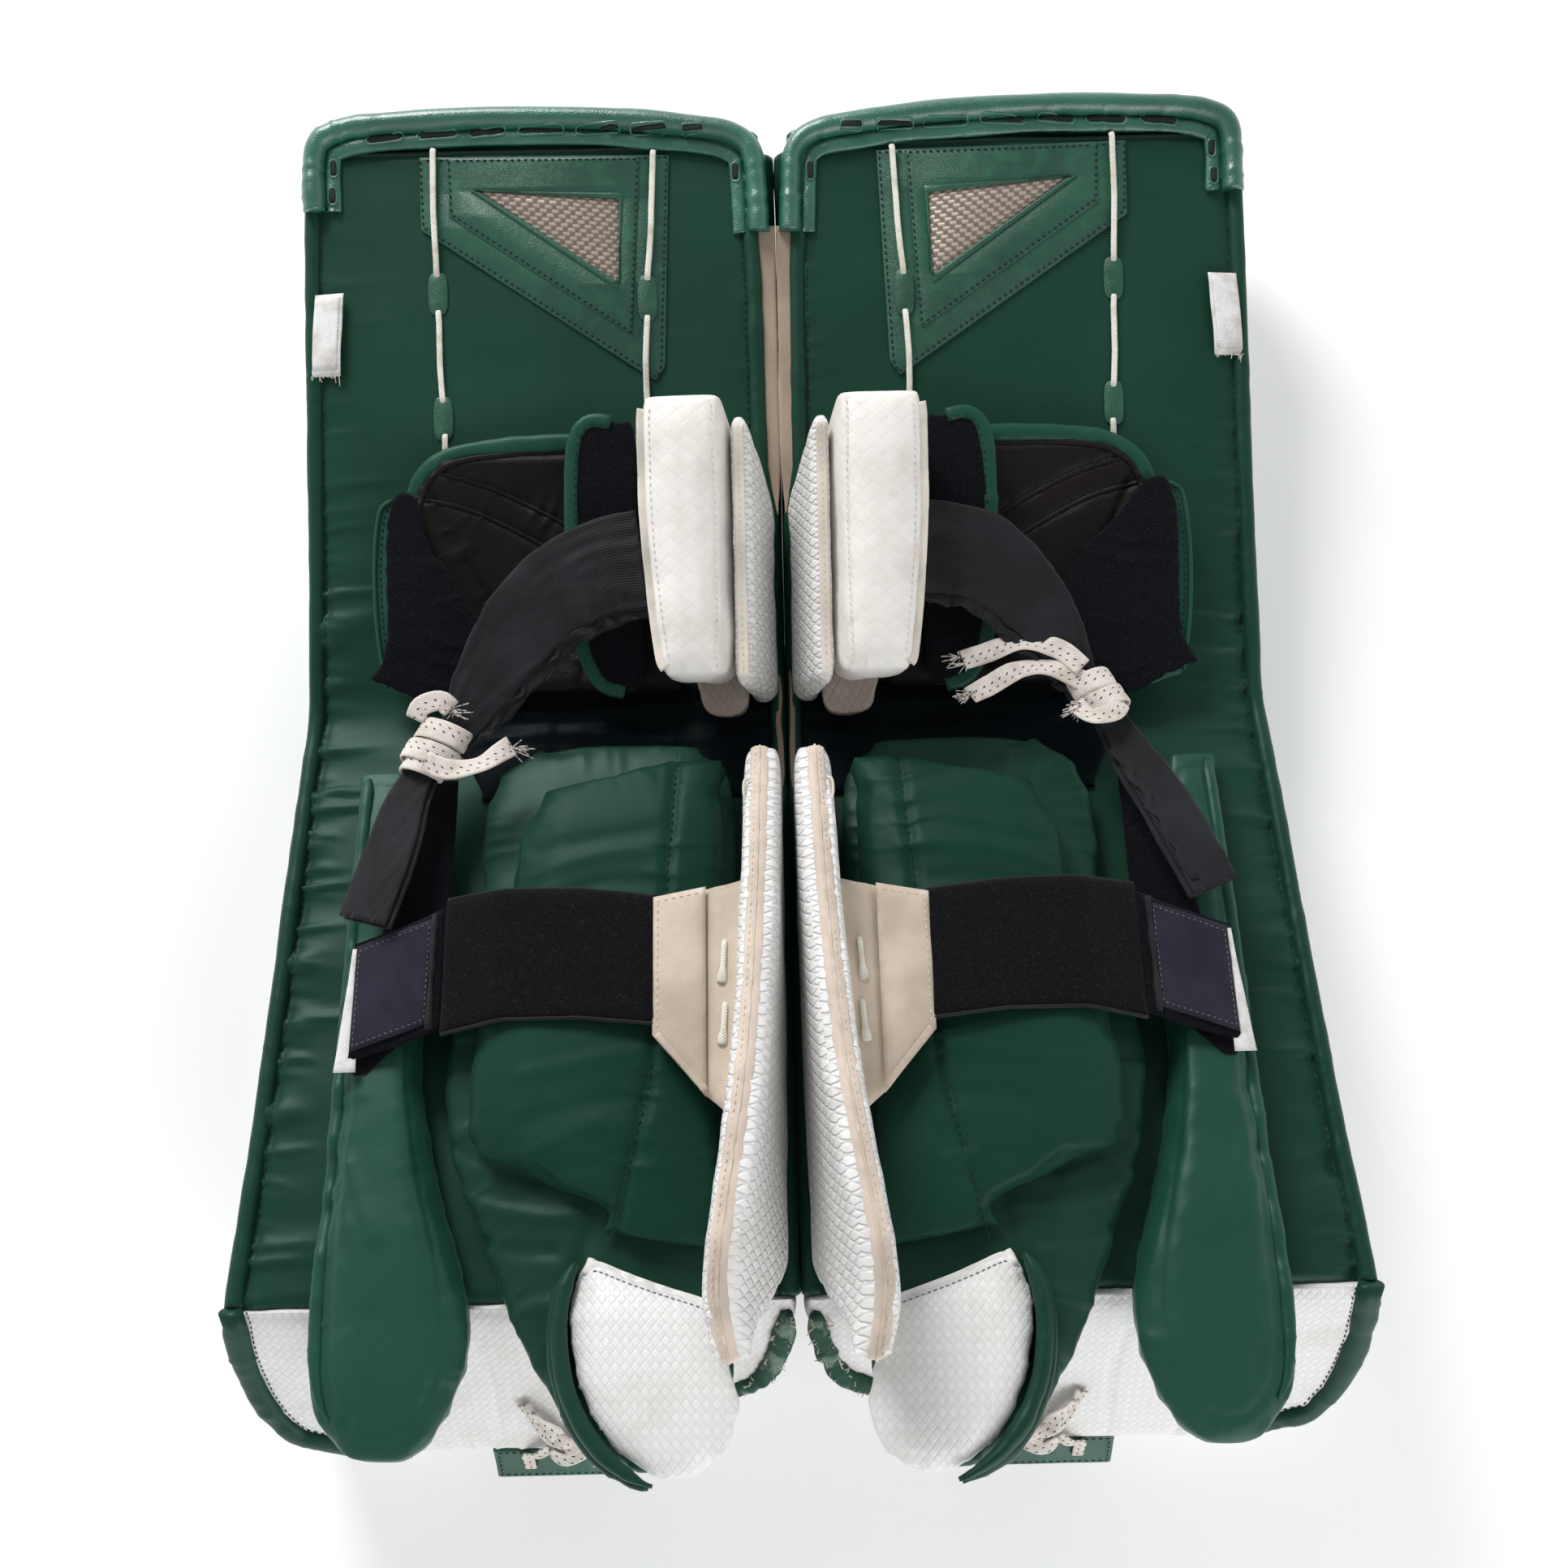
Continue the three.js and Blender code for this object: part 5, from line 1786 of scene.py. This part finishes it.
def build_wing(side, seed):
    """The outer calf wing: a long stuffed leaf with a piped outer edge and a fleece patch."""
    add = placer(side, SHIN, "wing")
    wing = puffed("left_outer_wing", SHIN, cap=4.0, shrink=2.5, growth=0.05, smoothing=4)
    loop = rim("left_outer_wing", SHIN, step=2.5, smoothing=8)
    top_side = above(16, 24)
    pucker(wing, inset(loop, 3), 1.2, 13, 8.5, seed, closed=True, mask=top_side)
    seam = drape(inset(loop, 11), wing)
    groove(wing, seam, 0.8, 1.8, closed=True)
    for k in range(4):
        s = 600 + 32 * k
        fold = curve([(-236 + 4 * k, s, 34), (-225 + 3 * k, s + 22, 36), (-214, s + 48, 36)])
        fold = drape(fold, wing)
        groove(wing, fold, -0.9, 4.5)
    roughen(wing, 0.9, 34, seed + 2)
    add("wing_skin", wing, "wing", "outer_wing")
    outer = part_of(loop, lambda p: p[0] < -222 and 392 < p[1] < 738)
    outer = downwards(outer)
    line = drape(inset_path(outer, 4.5, (-200, 560)), wing, 1.0)
    pipe = sweep(line, oval(7.5, 6.0, 12), width=tapered(len(line), 5, 16))
    pucker(pipe, line, 0.5, 5, 9, seed + 4)
    add("wing_piping", pipe, "wing")
    left = lambda s: np.interp(s, (396, 420, 470, 562), (-200, -206, -219, -231))
    right = lambda s: np.interp(s, (396, 470, 530, 566), (-186, -186, -187, -224))
    patch = sheet(left, right, 398, 566, 1.6, over([wing], 0.15, 20), 3.0, 14)
    roughen(patch, 0.3, 12, seed + 5)
    add("wing_fleece", patch, "fleece")
    return wing


def build_lower_wrap(side, seed):
    """The calf wrap's lower panel, creased in several places."""
    add = placer(side, SHIN, "wrap")
    lower = puffed("left_wrap_lower", SHIN, cap=3.5, shrink=2.0, growth=0.05, smoothing=4)
    loop = rim("left_wrap_lower", SHIN, step=2.5, smoothing=8)
    top_side = above(14, 22)
    pucker(lower, inset(loop, 3), 1.4, 15, 9, seed, closed=True, mask=top_side)
    folds = [[(-184, 600, 26), (-160, 612, 27), (-132, 622, 27)],
             [(-180, 622, 26), (-160, 634, 27), (-130, 640, 27), (-108, 640, 26)],
             [(-172, 646, 26), (-150, 655, 27), (-124, 658, 27)],
             [(-150, 690, 26), (-136, 684, 27), (-120, 682, 27)],
             [(-104, 640, 26), (-112, 672, 27), (-120, 700, 26), (-128, 716, 25)],
             [(-172, 470, 26), (-160, 474, 26), (-152, 475, 26)],
             [(-176, 510, 26), (-164, 512, 26), (-154, 512, 26)]]
    for k, fold in enumerate(folds):
        line = drape(curve(fold), lower)
        groove(lower, line, -1.5 if k % 2 else 1.3, 4.0)
    roughen(lower, 0.9, 30, seed + 1)
    add("lower_wrap_skin", lower, "nylon", "wrap_lower")
    return lower


def build_upper_wrap(side, seed):
    """The calf wrap's upper panel, with a sewn seam along its inner edge."""
    add = placer(side, SHIN, "wrap")
    upper = puffed("left_wrap_upper", SHIN, pressure=5, cap=5.0, shrink=2.5, growth=0.05, smoothing=4)
    loop = rim("left_wrap_upper", SHIN, step=2.5, smoothing=8)
    top_side = above(38, 46)
    pucker(upper, inset(loop, 3), 1.3, 12, 8, seed + 2, closed=True, mask=top_side)
    seam = drape(curve([(-61, 392, 50), (-66, 474, 50), (-73, 565, 50), (-84, 617, 50),
                        (-96, 662, 50)]), upper)
    groove(upper, seam, 2.4, 3.0)
    pucker(upper, seam, 1.1, 14, 9, seed + 3)
    for k, s in enumerate((440, 452, 472, 560, 585, 600, 612)):
        fold = drape(curve([(-74, s, 50), (-100, s + 5 - 3 * (k % 3), 52), (-138, s + 12, 50)]),
                     upper)
        groove(upper, fold, -0.6 if k % 2 else 0.6, 4.5)
    roughen(upper, 1.0, 32, seed + 4)
    add("upper_wrap_skin", upper, "wrap", "wrap_upper")
    sewn = stitches(seam + (0, 0, -1.6), 3.0, 1.8, 0.4)
    add("upper_wrap_stitches", sewn, "green_thread")
    return upper


def build_ankle_guard(side, seed):
    """The white ankle guard: a hemmed panel with a rolled binding round its lower end."""
    add = placer(side, SHIN, "wrap")
    guard = puffed("left_ankle_guard", SHIN, pressure=3, cap=2.5, shrink=1.5, smoothing=5)
    loop = rim("left_ankle_guard", SHIN, step=2.5, smoothing=8)
    pucker(guard, inset(loop, 2), 0.6, 9, 7, seed + 5, closed=True)
    roughen(guard, 0.6, 30, seed + 6)
    add("guard_skin", guard, "ghost", "ankle_guard")
    top_edge = part_of(loop, lambda p: p[1] < 690 and -108 < p[0] < -40)
    hem = drape(inset_path(top_edge, 1.6, (-75, 740)), guard, 0.1)
    add("guard_hem", sweep(hem, band(3.6, 0.7, 8)), "plain_white")
    hem_line = drape(inset_path(top_edge, 4.6, (-75, 740)), guard, 0.2)
    add("guard_stitches", stitches(hem_line, 2.2, 1.4, 0.4), "grey_thread")
    around = part_of(inset(loop, -4.6), lambda p: p[0] < -71 and p[1] > 664)
    around[:, 2] = 39.0
    around = downwards(around)
    thin = tapered(len(around), 6, 12)
    roll = sweep(around, oval(8.5, 9.5, 14), width=thin)
    pucker(roll, around + (0, 0, 3), 0.7, 7, 8, seed + 7)
    add("guard_binding", roll, "nylon")
    under = around + (-2.5, 1.0, -9.5)
    skirt = sweep(under, oval(10, 13, 14, 0.8), width=thin)
    pucker(skirt, under, 0.8, 9, 9, seed + 8)
    add("guard_skirt", skirt, "nylon")


def build_strap(side, seed, under):
    """The calf strap: loop webbing, the beige tab it is sewn to, and its hook end."""
    add = placer(side, SHIN, "strap")
    on_wraps = over(under, 0.5, 33)

    def strap_height(x, s):
        low = np.interp(x, (-234, -200, -184, -155, -100, -72, -40),
                        (33, 37, 41, 50, 55.5, 58, 59))
        return np.maximum(low, on_wraps(x, s))

    top = lambda x: np.interp(x, (-184, -150, -110, -71), (476, 474, 476, 482))
    low = lambda x: np.interp(x, (-184, -150, -110, -71), (549, 544, 545, 550))
    x = np.linspace(-184, -70, 40)
    xs, ss = between(x, top(x), low(x), 24)
    strap = slab_sheet(xs, ss, strap_height(xs, ss), 2.6)
    roughen(strap, 0.25, 18, seed)
    add("strap_webbing", strap, "pile", "calf_strap")
    for name, edge in (("strap_top_edge", top), ("strap_low_edge", low)):
        xx = np.arange(-183, -70, 2.5)
        line = np.c_[xx, edge(xx), np.zeros(len(xx))]
        line[:, 2] = drape(line + (0, 1.2 if "top" in name else -1.2, 0), strap)[:, 2] - 0.9
        add(name, sweep(line, oval(2.2, 2.4, 8)), "elastic", slot="loop_black")
    build_tab(side, strap_height)
    build_strap_end(side, seed, strap_height)


def build_tab(side, height):
    """The beige leather tab at the strap's inner end, and the flap on the landing it is laced to."""
    on_strap = placer(side, SHIN, "strap")
    on_landing = placer(side, SHIN, "landing")
    x = np.linspace(-72, -44.6, 12)
    xs, ss = between(x, np.interp(x, (-72, -44), (483, 478)),
                     np.interp(x, (-72, -44), (556, 589)), 22)
    base = height(xs, ss) + 1.2
    base += 0.8 * np.sin(xs / 5.0) * np.linspace(0, 1, 22)[None, :]
    tab = slab_sheet(xs, ss, base, 2.0)
    on_strap("strap_tab_leather", tab, "beige", "strap_tab")
    line = np.c_[np.linspace(-70.5, -45, 16), np.interp(np.linspace(-70.5, -45, 16), (-72, -44),
                 (486, 481)), np.zeros(16)]
    side_line = np.array([(-69.5, s, 0.0) for s in np.arange(486, 555, 2.5)])
    slope = np.c_[np.linspace(-70, -45, 16), np.linspace(555, 585, 16), np.zeros(16)]
    sewn = [stitches(drape(k, tab), 2.4, 1.6, 0.4) for k in (line, side_line)]
    on_strap("strap_tab_stitches", joined(sewn), "white_thread")
    lip = drape(slope + (0.4, 0.6, 0), tab, 0.2)
    on_strap("strap_tab_hem", sweep(lip, band(3.4, 1.0, 8)), "beige")

    x = np.linspace(-48.0, -24.0, 13)
    xs, ss = between(x, np.interp(x, (-48, -24), (479, 476)),
                     np.interp(x, (-48, -24), (584, 606)), 22)
    rise = np.interp(xs, (-48, -44, -40, -34, -26, -24), (55.9, 56.4, 58.4, 59.6, 63.0, 66.0))
    flap = slab_sheet(xs, ss, rise, 1.9)
    drawn = [on_landing("landing_flap", flap, "beige")]
    loops = []
    for start, end in ((508, 530), (541, 562)):
        line = [(-34.5, start, 60.8), (-35.0, start + 2, 62.4), (-35.5, (start + end) / 2, 62.6),
                (-36.0, end - 5, 62.7), (-36.5, end, 61.2)]
        path = curve(line, 1.5)
        swell = 1 + 0.7 * part_way(path[:, 1], end - 8, end - 3)
        loops.append(sweep(path, oval(3.0, 2.2, 8), width=swell))
    drawn.append(on_landing("flap_lace", joined(loops), "lace"))
    for obj in drawn:
        crumple(obj)


def build_strap_end(side, seed, height):
    """The strap's outer end: its hook pad, a navy patch over it and the white pull tape."""
    add = placer(side, SHIN, "strap")
    x = np.linspace(-233, -184.5, 22)
    xs, ss = between(x, np.interp(x, (-233, -205, -184), (497, 488, 480)),
                     np.interp(x, (-233, -205, -184), (560, 553, 546)), 24)
    base = height(xs, ss) + 0.6
    pile = slab_sheet(xs, ss, base, 2.4)
    roughen(pile, 0.3, 10, seed)
    add("strap_hook_end", pile, "fleece", "strap_end")
    x = np.linspace(-231.5, -190.5, 18)
    xs, ss = between(x, np.interp(x, (-231, -190), (499, 486)),
                     np.interp(x, (-231, -190), (556, 543)), 24)
    lift = height(xs, ss) + 3.0 + 1.0 * np.sin((xs + 232) / 41 * math.pi)
    patch = slab_sheet(xs, ss, lift, 1.5)
    add("strap_end_patch", patch, "navy")
    border = closed_loop([(-229.8, 502), (-192.2, 489), (-192.2, 541), (-229.8, 553)], 1.0)
    line = drape(at_height(border, 0), patch)
    add("strap_end_stitches", stitches(line, 1.8, 1.2, 0.26, True), "grey_thread")
    edge = np.c_[np.full(20, -189.6), np.linspace(484, 546, 20), np.zeros(20)]
    edge[:, 2] = drape(edge, pile)[:, 2] + 0.8
    trim = sweep(edge, oval(3.4, 3.4, 8))
    pucker(trim, edge, 0.8, 5, 4, seed)
    add("strap_end_edging", trim, "elastic", slot="loop_black")
    s = np.linspace(500, 566, 22)
    share = np.linspace(0, 1, 6)
    right = np.interp(s, (500, 566), (-230.5, -228.0))
    left = right - np.interp(s, (500, 540, 566), (3.6, 8.0, 11.5))
    xs = left[:, None] + (right - left)[:, None] * share
    ss = np.repeat(s[:, None], 6, 1)
    tape = slab_sheet(xs, ss, np.full(xs.shape, 34.8) + 0.5 * np.sin(ss / 7), 1.3)
    add("strap_pull_tape", tape, "tape")


def build_landing(side, seed):
    """The calf landing: a tall stuffed wall of white weave with a sewn binding on its edge."""
    add = placer(side, SHIN, "landing")
    landing = puffed("left_calf_landing", SHIN, voxel=3.6, pressure=3, cap=2.0, shrink=1.6,
                     smoothing=7)
    out = rim("left_calf_landing", SHIN, axis=0, sign=-1, step=3.0, smoothing=6)
    inn = rim("left_calf_landing", SHIN, axis=0, sign=1, step=3.0, smoothing=6)
    pucker(landing, out, 0.7, 9, 7, seed, closed=True)
    roughen(landing, 0.4, 28, seed + 2)
    add("landing_skin", landing, "white", "calf_landing")
    upper = part_of(out, lambda p: p[2] > 16)
    upper = downwards(upper)
    middle = []
    tree = landing.tree()
    for p in upper:
        mate = inn[np.argmin(np.hypot(inn[:, 1] - p[1], inn[:, 2] - p[2]))]
        middle.append((p + mate) / 2)
    middle = np.array(middle)
    centre = np.array([middle[:, 0].mean(), 590.0, 40.0])
    t = np.gradient(middle, axis=0)
    away = np.c_[np.zeros(len(t)), -t[:, 2], t[:, 1]]
    away /= np.maximum(np.linalg.norm(away, axis=1), 1e-9)[:, None]
    flip = np.sum(away * (middle - centre), axis=1) < 0
    away[flip] *= -1
    line = []
    for p, a in zip(middle, away):
        hit = tree.ray_cast(Vector(p + a * 30), Vector(-a))[0]
        line.append(np.array(hit) if hit is not None else p)
    line = np.array(line)
    line[:, 0] = np.convolve(np.pad(line[:, 0], 4, "edge"), np.ones(9) / 9, "valid")
    width = 9.5
    line[:, 0] -= 2.6
    across = np.linspace(-0.5, 0.5, 11)
    arch = np.c_[across * width, 1.1 - 1.5 * np.abs(across * 2) ** 2.6]
    hem = np.vstack([np.c_[across * width, arch[:, 1] - 1.6], arch[::-1]])
    strip = sweep(line, hem, up=away)
    pucker(strip, line, 0.45, 12, 4.5, seed + 3)
    add("landing_binding", strip, "roll")
    ridge = sweep(line + away * 1.25, oval(1.5, 1.2, 6), up=away)
    add("landing_binding_seam", ridge, "beige", slot="face_leather")
    row = stitches(line + away - (2.4, 0, 0), 2.4, 1.6, 0.3)
    add("landing_stitches", row, "white_thread")
    hooks = []
    for k in range(2):
        s = 430 + 20 * k
        ring = [(-20.5, s - 5, 78), (-22.8, s - 4, 79), (-23.5, s + 1, 79), (-22.8, s + 6, 78),
                (-20.5, s + 7, 77)]
        hooks.append(sweep(curve(ring, 1.5), oval(1.9, 1.5, 8), up=(1, 0, 0.2)))
    add("landing_hooks", joined(hooks), "bone", slot="lace_white")


# ---------------------------------------------------------------- boot pieces

def build_boot(side, seed):
    """The boot section: its weave-pattern cover, its face and its rolled edges."""
    add = placer(side, BOOT, "boot")
    boot = puffed("left_boot_core", BOOT, voxel=4.5, pressure=1, cap=1.5, shrink=0.8, smoothing=4)
    loop = rim("left_boot_core", BOOT, step=3.0, smoothing=6)
    upper = above(-12, 0)
    pucker(boot, inset(loop, 4), 0.9, 16, 13, seed, closed=True, mask=upper)
    roughen(boot, 1.2, 38, seed + 1)
    toe_seams = [curve([(-170, 712, 0), (-165, 750, 0), (-168, 800, 0)]),
                 curve([(-232, 700, 0), (-215, 760, 0), (-205, 806, 0)])]
    for seam in toe_seams:
        seam[:, 2] = drape(seam, boot)[:, 2]
        groove(boot, seam, 1.2, 2.4)
    world = BOOT.world(boot.v)
    boot.v[:, 2] += np.maximum(0, 0.0006 - world[:, 2]) / MM * 0.5
    add("boot_skin", boot, "ghost", "boot_core")
    face = puffed("left_boot_face", BOOT, pressure=1, cap=0.8, shrink=0.8, smoothing=3)
    add("boot_face_skin", face, "plain_white", "boot_face",
        blend=("shin", (-140, BREAK + 34, -60), (-140, BREAK + 4, -60)))
    outer = part_of(loop, lambda p: p[0] < -215 and p[1] > 690)
    outer = downwards(outer)
    outer = np.vstack([outer[:1] + (0, -11, 0), outer])
    line = inset_path(outer, 5.0, (-160, 740))
    line[:, 2] = 0.6
    size = 1 + 0.08 * smooth_noise(np.arange(len(line)) / 3.0, seed + 3)
    roll = sweep(line, oval(13.5, 8.0, 16), width=size)
    pucker(roll, line + (0, 0, 3), 0.9, 9, 7, seed + 4)
    add("boot_edge_roll", roll, "nylon")
    inner_line = inset_path(outer, 13.0, (-160, 740))
    inner_line[:, 2] = drape(inner_line, boot)[:, 2] + 0.2
    add("boot_stitches", stitches(inner_line, 2.6, 1.6, 0.4), "green_thread")
    inner = part_of(loop, lambda p: p[0] > -60 and p[1] > 690)
    inner = downwards(inner)
    line = inset_path(inner, 4.5, (-140, 730))
    line[:, 2] = 0.4
    size = 1 + 0.16 * smooth_noise(np.arange(len(line)) / 1.6, seed + 5)
    size *= tapered(len(line), 4, 6)
    roll = sweep(line, oval(11.5, 8.5, 16), width=size)
    pucker(roll, line + (0, 0, 3), 1.5, 9, 5, seed + 6)
    add("boot_inner_roll", roll, "worn_nylon")
    tufts = [frayed(line + (2.0, 0, 3.0), seed + 8, 46, 3.0, 0.3, (0.5, 0.3, 0.3)),
             frayed(line + (-5, 0, 2.6), seed + 9, 24, 3.0, 0.35, (-0.6, 0.2, 0.2))]
    add("boot_worn_threads", joined(tufts), "white_thread")
    build_toe(side, seed)


def build_toe(side, seed):
    """The toe bridge, and the toe lace with its knot and the ties to the bridge."""
    on_toe = placer(side, BOOT, "toe")
    on_boot = placer(side, BOOT, "boot")
    bridge = plate([(-174, 812), (-97, 812), (-97, 838), (-174, 838)], -6.6, -3.6, 0.7)
    roughen(bridge, 0.2, 20, seed)
    on_toe("toe_bridge_leather", bridge, "patch", "toe_bridge")
    loop = closed_loop([(-171.5, 814.5), (-99.5, 814.5), (-99.5, 835.5), (-171.5, 835.5)], 1.0)
    sewn = stitches(at_height(loop, -3.6), 2.4, 1.4, 0.34, True)
    on_toe("toe_bridge_stitches", sewn, "green_thread")
    shapes = []
    lines = [[(-150, 758, 3), (-143, 772, 6), (-137, 788, 5), (-130, 801, 4)],
             [(-146, 762, 6), (-136, 776, 8), (-131, 790, 7), (-124, 800, 5)],
             [(-140, 796, 6), (-132, 803, 8), (-122, 800, 6), (-117, 793, 5)],
             [(-142, 780, 4), (-133, 784, 9), (-126, 792, 7), (-133, 800, 5)]]
    for k, line in enumerate(lines):
        path = curve(line, 2.0)
        path[:, 2] = np.maximum(path[:, 2], 2.0)
        ribbon = sweep(path, band(8.5, 1.3, 10), tilt=0.5 * np.sin(np.arange(len(path)) / 3 + k))
        pucker(ribbon, path, 0.6, 5, 4, seed + k)
        shapes.append(ribbon)
    on_boot("toe_knot", joined(shapes), "skate_lace", "toe_lace")
    ties = []
    for start, end in ((-139, -154), (-127, -116)):
        path = curve([(start, 794, 6), ((start + end) / 2, 804, 4.5), (end, 812, -0.6),
                      (end, 820, -2.0), (end, 826, -2.4), (end, 829, -5.5)], 2.0)
        ties.append(sweep(path, band(6.5, 1.2, 10)))
    on_boot("toe_ties", joined(ties), "skate_lace", blend=("toe", (-135, 806, 0), (-135, 818, -3)))


# ---------------------------------------------------------------- the pads

for pad, side in enumerate(SIDES):
    seed = 100 + 500 * pad
    build_cover(side, seed)
    build_face(side, seed + 20)
    build_cuff(side, seed + 40)
    build_patch(side)
    build_laces(side)
    build_tag(side, seed + 100)
    build_cradle(side, seed + 120)
    build_crease_shade_sheet(side, seed + 130)
    build_outer_flap(side, seed + 140)
    build_inner_flap(side, seed + 140)
    build_knee_block(side, seed + 160)
    build_knee_wedge(side, seed + 160)
    build_elastics(side, seed + 180)
    wing = build_wing(side, seed + 200)
    lower = build_lower_wrap(side, seed + 220)
    upper = build_upper_wrap(side, seed + 220)
    build_ankle_guard(side, seed + 220)
    build_strap(side, seed + 240, [wing, lower, upper])
    build_landing(side, seed + 260)
    build_boot(side, seed + 280)


# ---------------------------------------------------------------- camera, light and floor

def build_floor():
    """A pale, slightly uneven floor under the pads."""
    reach = 6
    corners = [(-reach, -reach, 0), (reach, -reach, 0), (reach, reach, 0), (-reach, reach, 0)]
    floor = new_object("floor", corners, [(0, 1, 2, 3)])
    paper = Look("pale_paper", 0.9, 0.1)
    tone = paper.mix(paper.noise(300, 2), (0.92, 0.92, 0.92), (0.94, 0.94, 0.94))
    paper.set("Base Color", tone)
    paper.set("Emission Color", (1.0, 1.0, 1.0))
    paper.set("Emission Strength", 0.15)
    paper.bump(paper.noise(2, 2), 0.02, 0.2)
    floor.data.materials.append(paper.material)


def build_lamps():
    """Two soft round lamps that look at the pads' middle."""
    target = Vector((0, 0, 0.1))
    for name, place, size, power in (("key", (-0.9, 1.95, 1.35), 1.0, 52),
                                     ("fill", (0.9, -1.8, 0.95), 1.6, 19)):
        light = bpy.data.lights.new(name, "AREA")
        light.shape = "DISK"
        light.size = size
        light.energy = power
        lamp = bpy.data.objects.new(name, light)
        lamp.location = place
        lamp.rotation_euler = (target - Vector(place)).to_track_quat("-Z", "Y").to_euler()
        bpy.context.scene.collection.objects.link(lamp)


def build_world():
    """A sky-like world that is brighter near the horizon."""
    world = bpy.data.worlds.new("studio")
    world.use_nodes = True
    nodes, links = world.node_tree.nodes, world.node_tree.links
    nodes["Background"].inputs[0].default_value = (0.96, 0.98, 1.0, 1)
    height = nodes.new("ShaderNodeSeparateXYZ")
    links.new(nodes.new("ShaderNodeTexCoord").outputs["Generated"], height.inputs[0])
    glow = nodes.new("ShaderNodeMapRange")
    links.new(height.outputs[2], glow.inputs[0])
    from_low, from_high, at_low, at_high = 0.1, 0.85, 1.15, 0.34
    for socket, value in zip(glow.inputs[1:5], (from_low, from_high, at_low, at_high)):
        socket.default_value = value
    links.new(glow.outputs[0], nodes["Background"].inputs[1])
    bpy.context.scene.world = world
    bpy.context.scene.view_settings.view_transform = "Standard"


def build_camera():
    """Looks down on the thigh sections square on, turned a little, as a person standing would."""
    tilt = math.radians(8)
    roll = math.radians(1.39)
    back = Vector((0, -math.sin(tilt), math.cos(tilt)))
    along = Vector((0, math.cos(tilt), math.sin(tilt)))
    across = Vector((1, 0, 0))
    right = across * math.cos(roll) - along * math.sin(roll)
    up = across * math.sin(roll) + along * math.cos(roll)
    aim = Vector((-0.0022, -0.0067, 0.0533))
    distance = 0.95
    camera = bpy.data.objects.new("camera", bpy.data.cameras.new("camera"))
    bpy.context.scene.collection.objects.link(camera)
    matrix = Matrix((right, up, back)).transposed().to_4x4()
    matrix.translation = aim + back * distance
    camera.matrix_world = matrix
    camera.data.sensor_width = 36
    camera.data.lens = 37
    bpy.context.scene.camera = camera


build_floor()
build_lamps()
build_world()
build_camera()
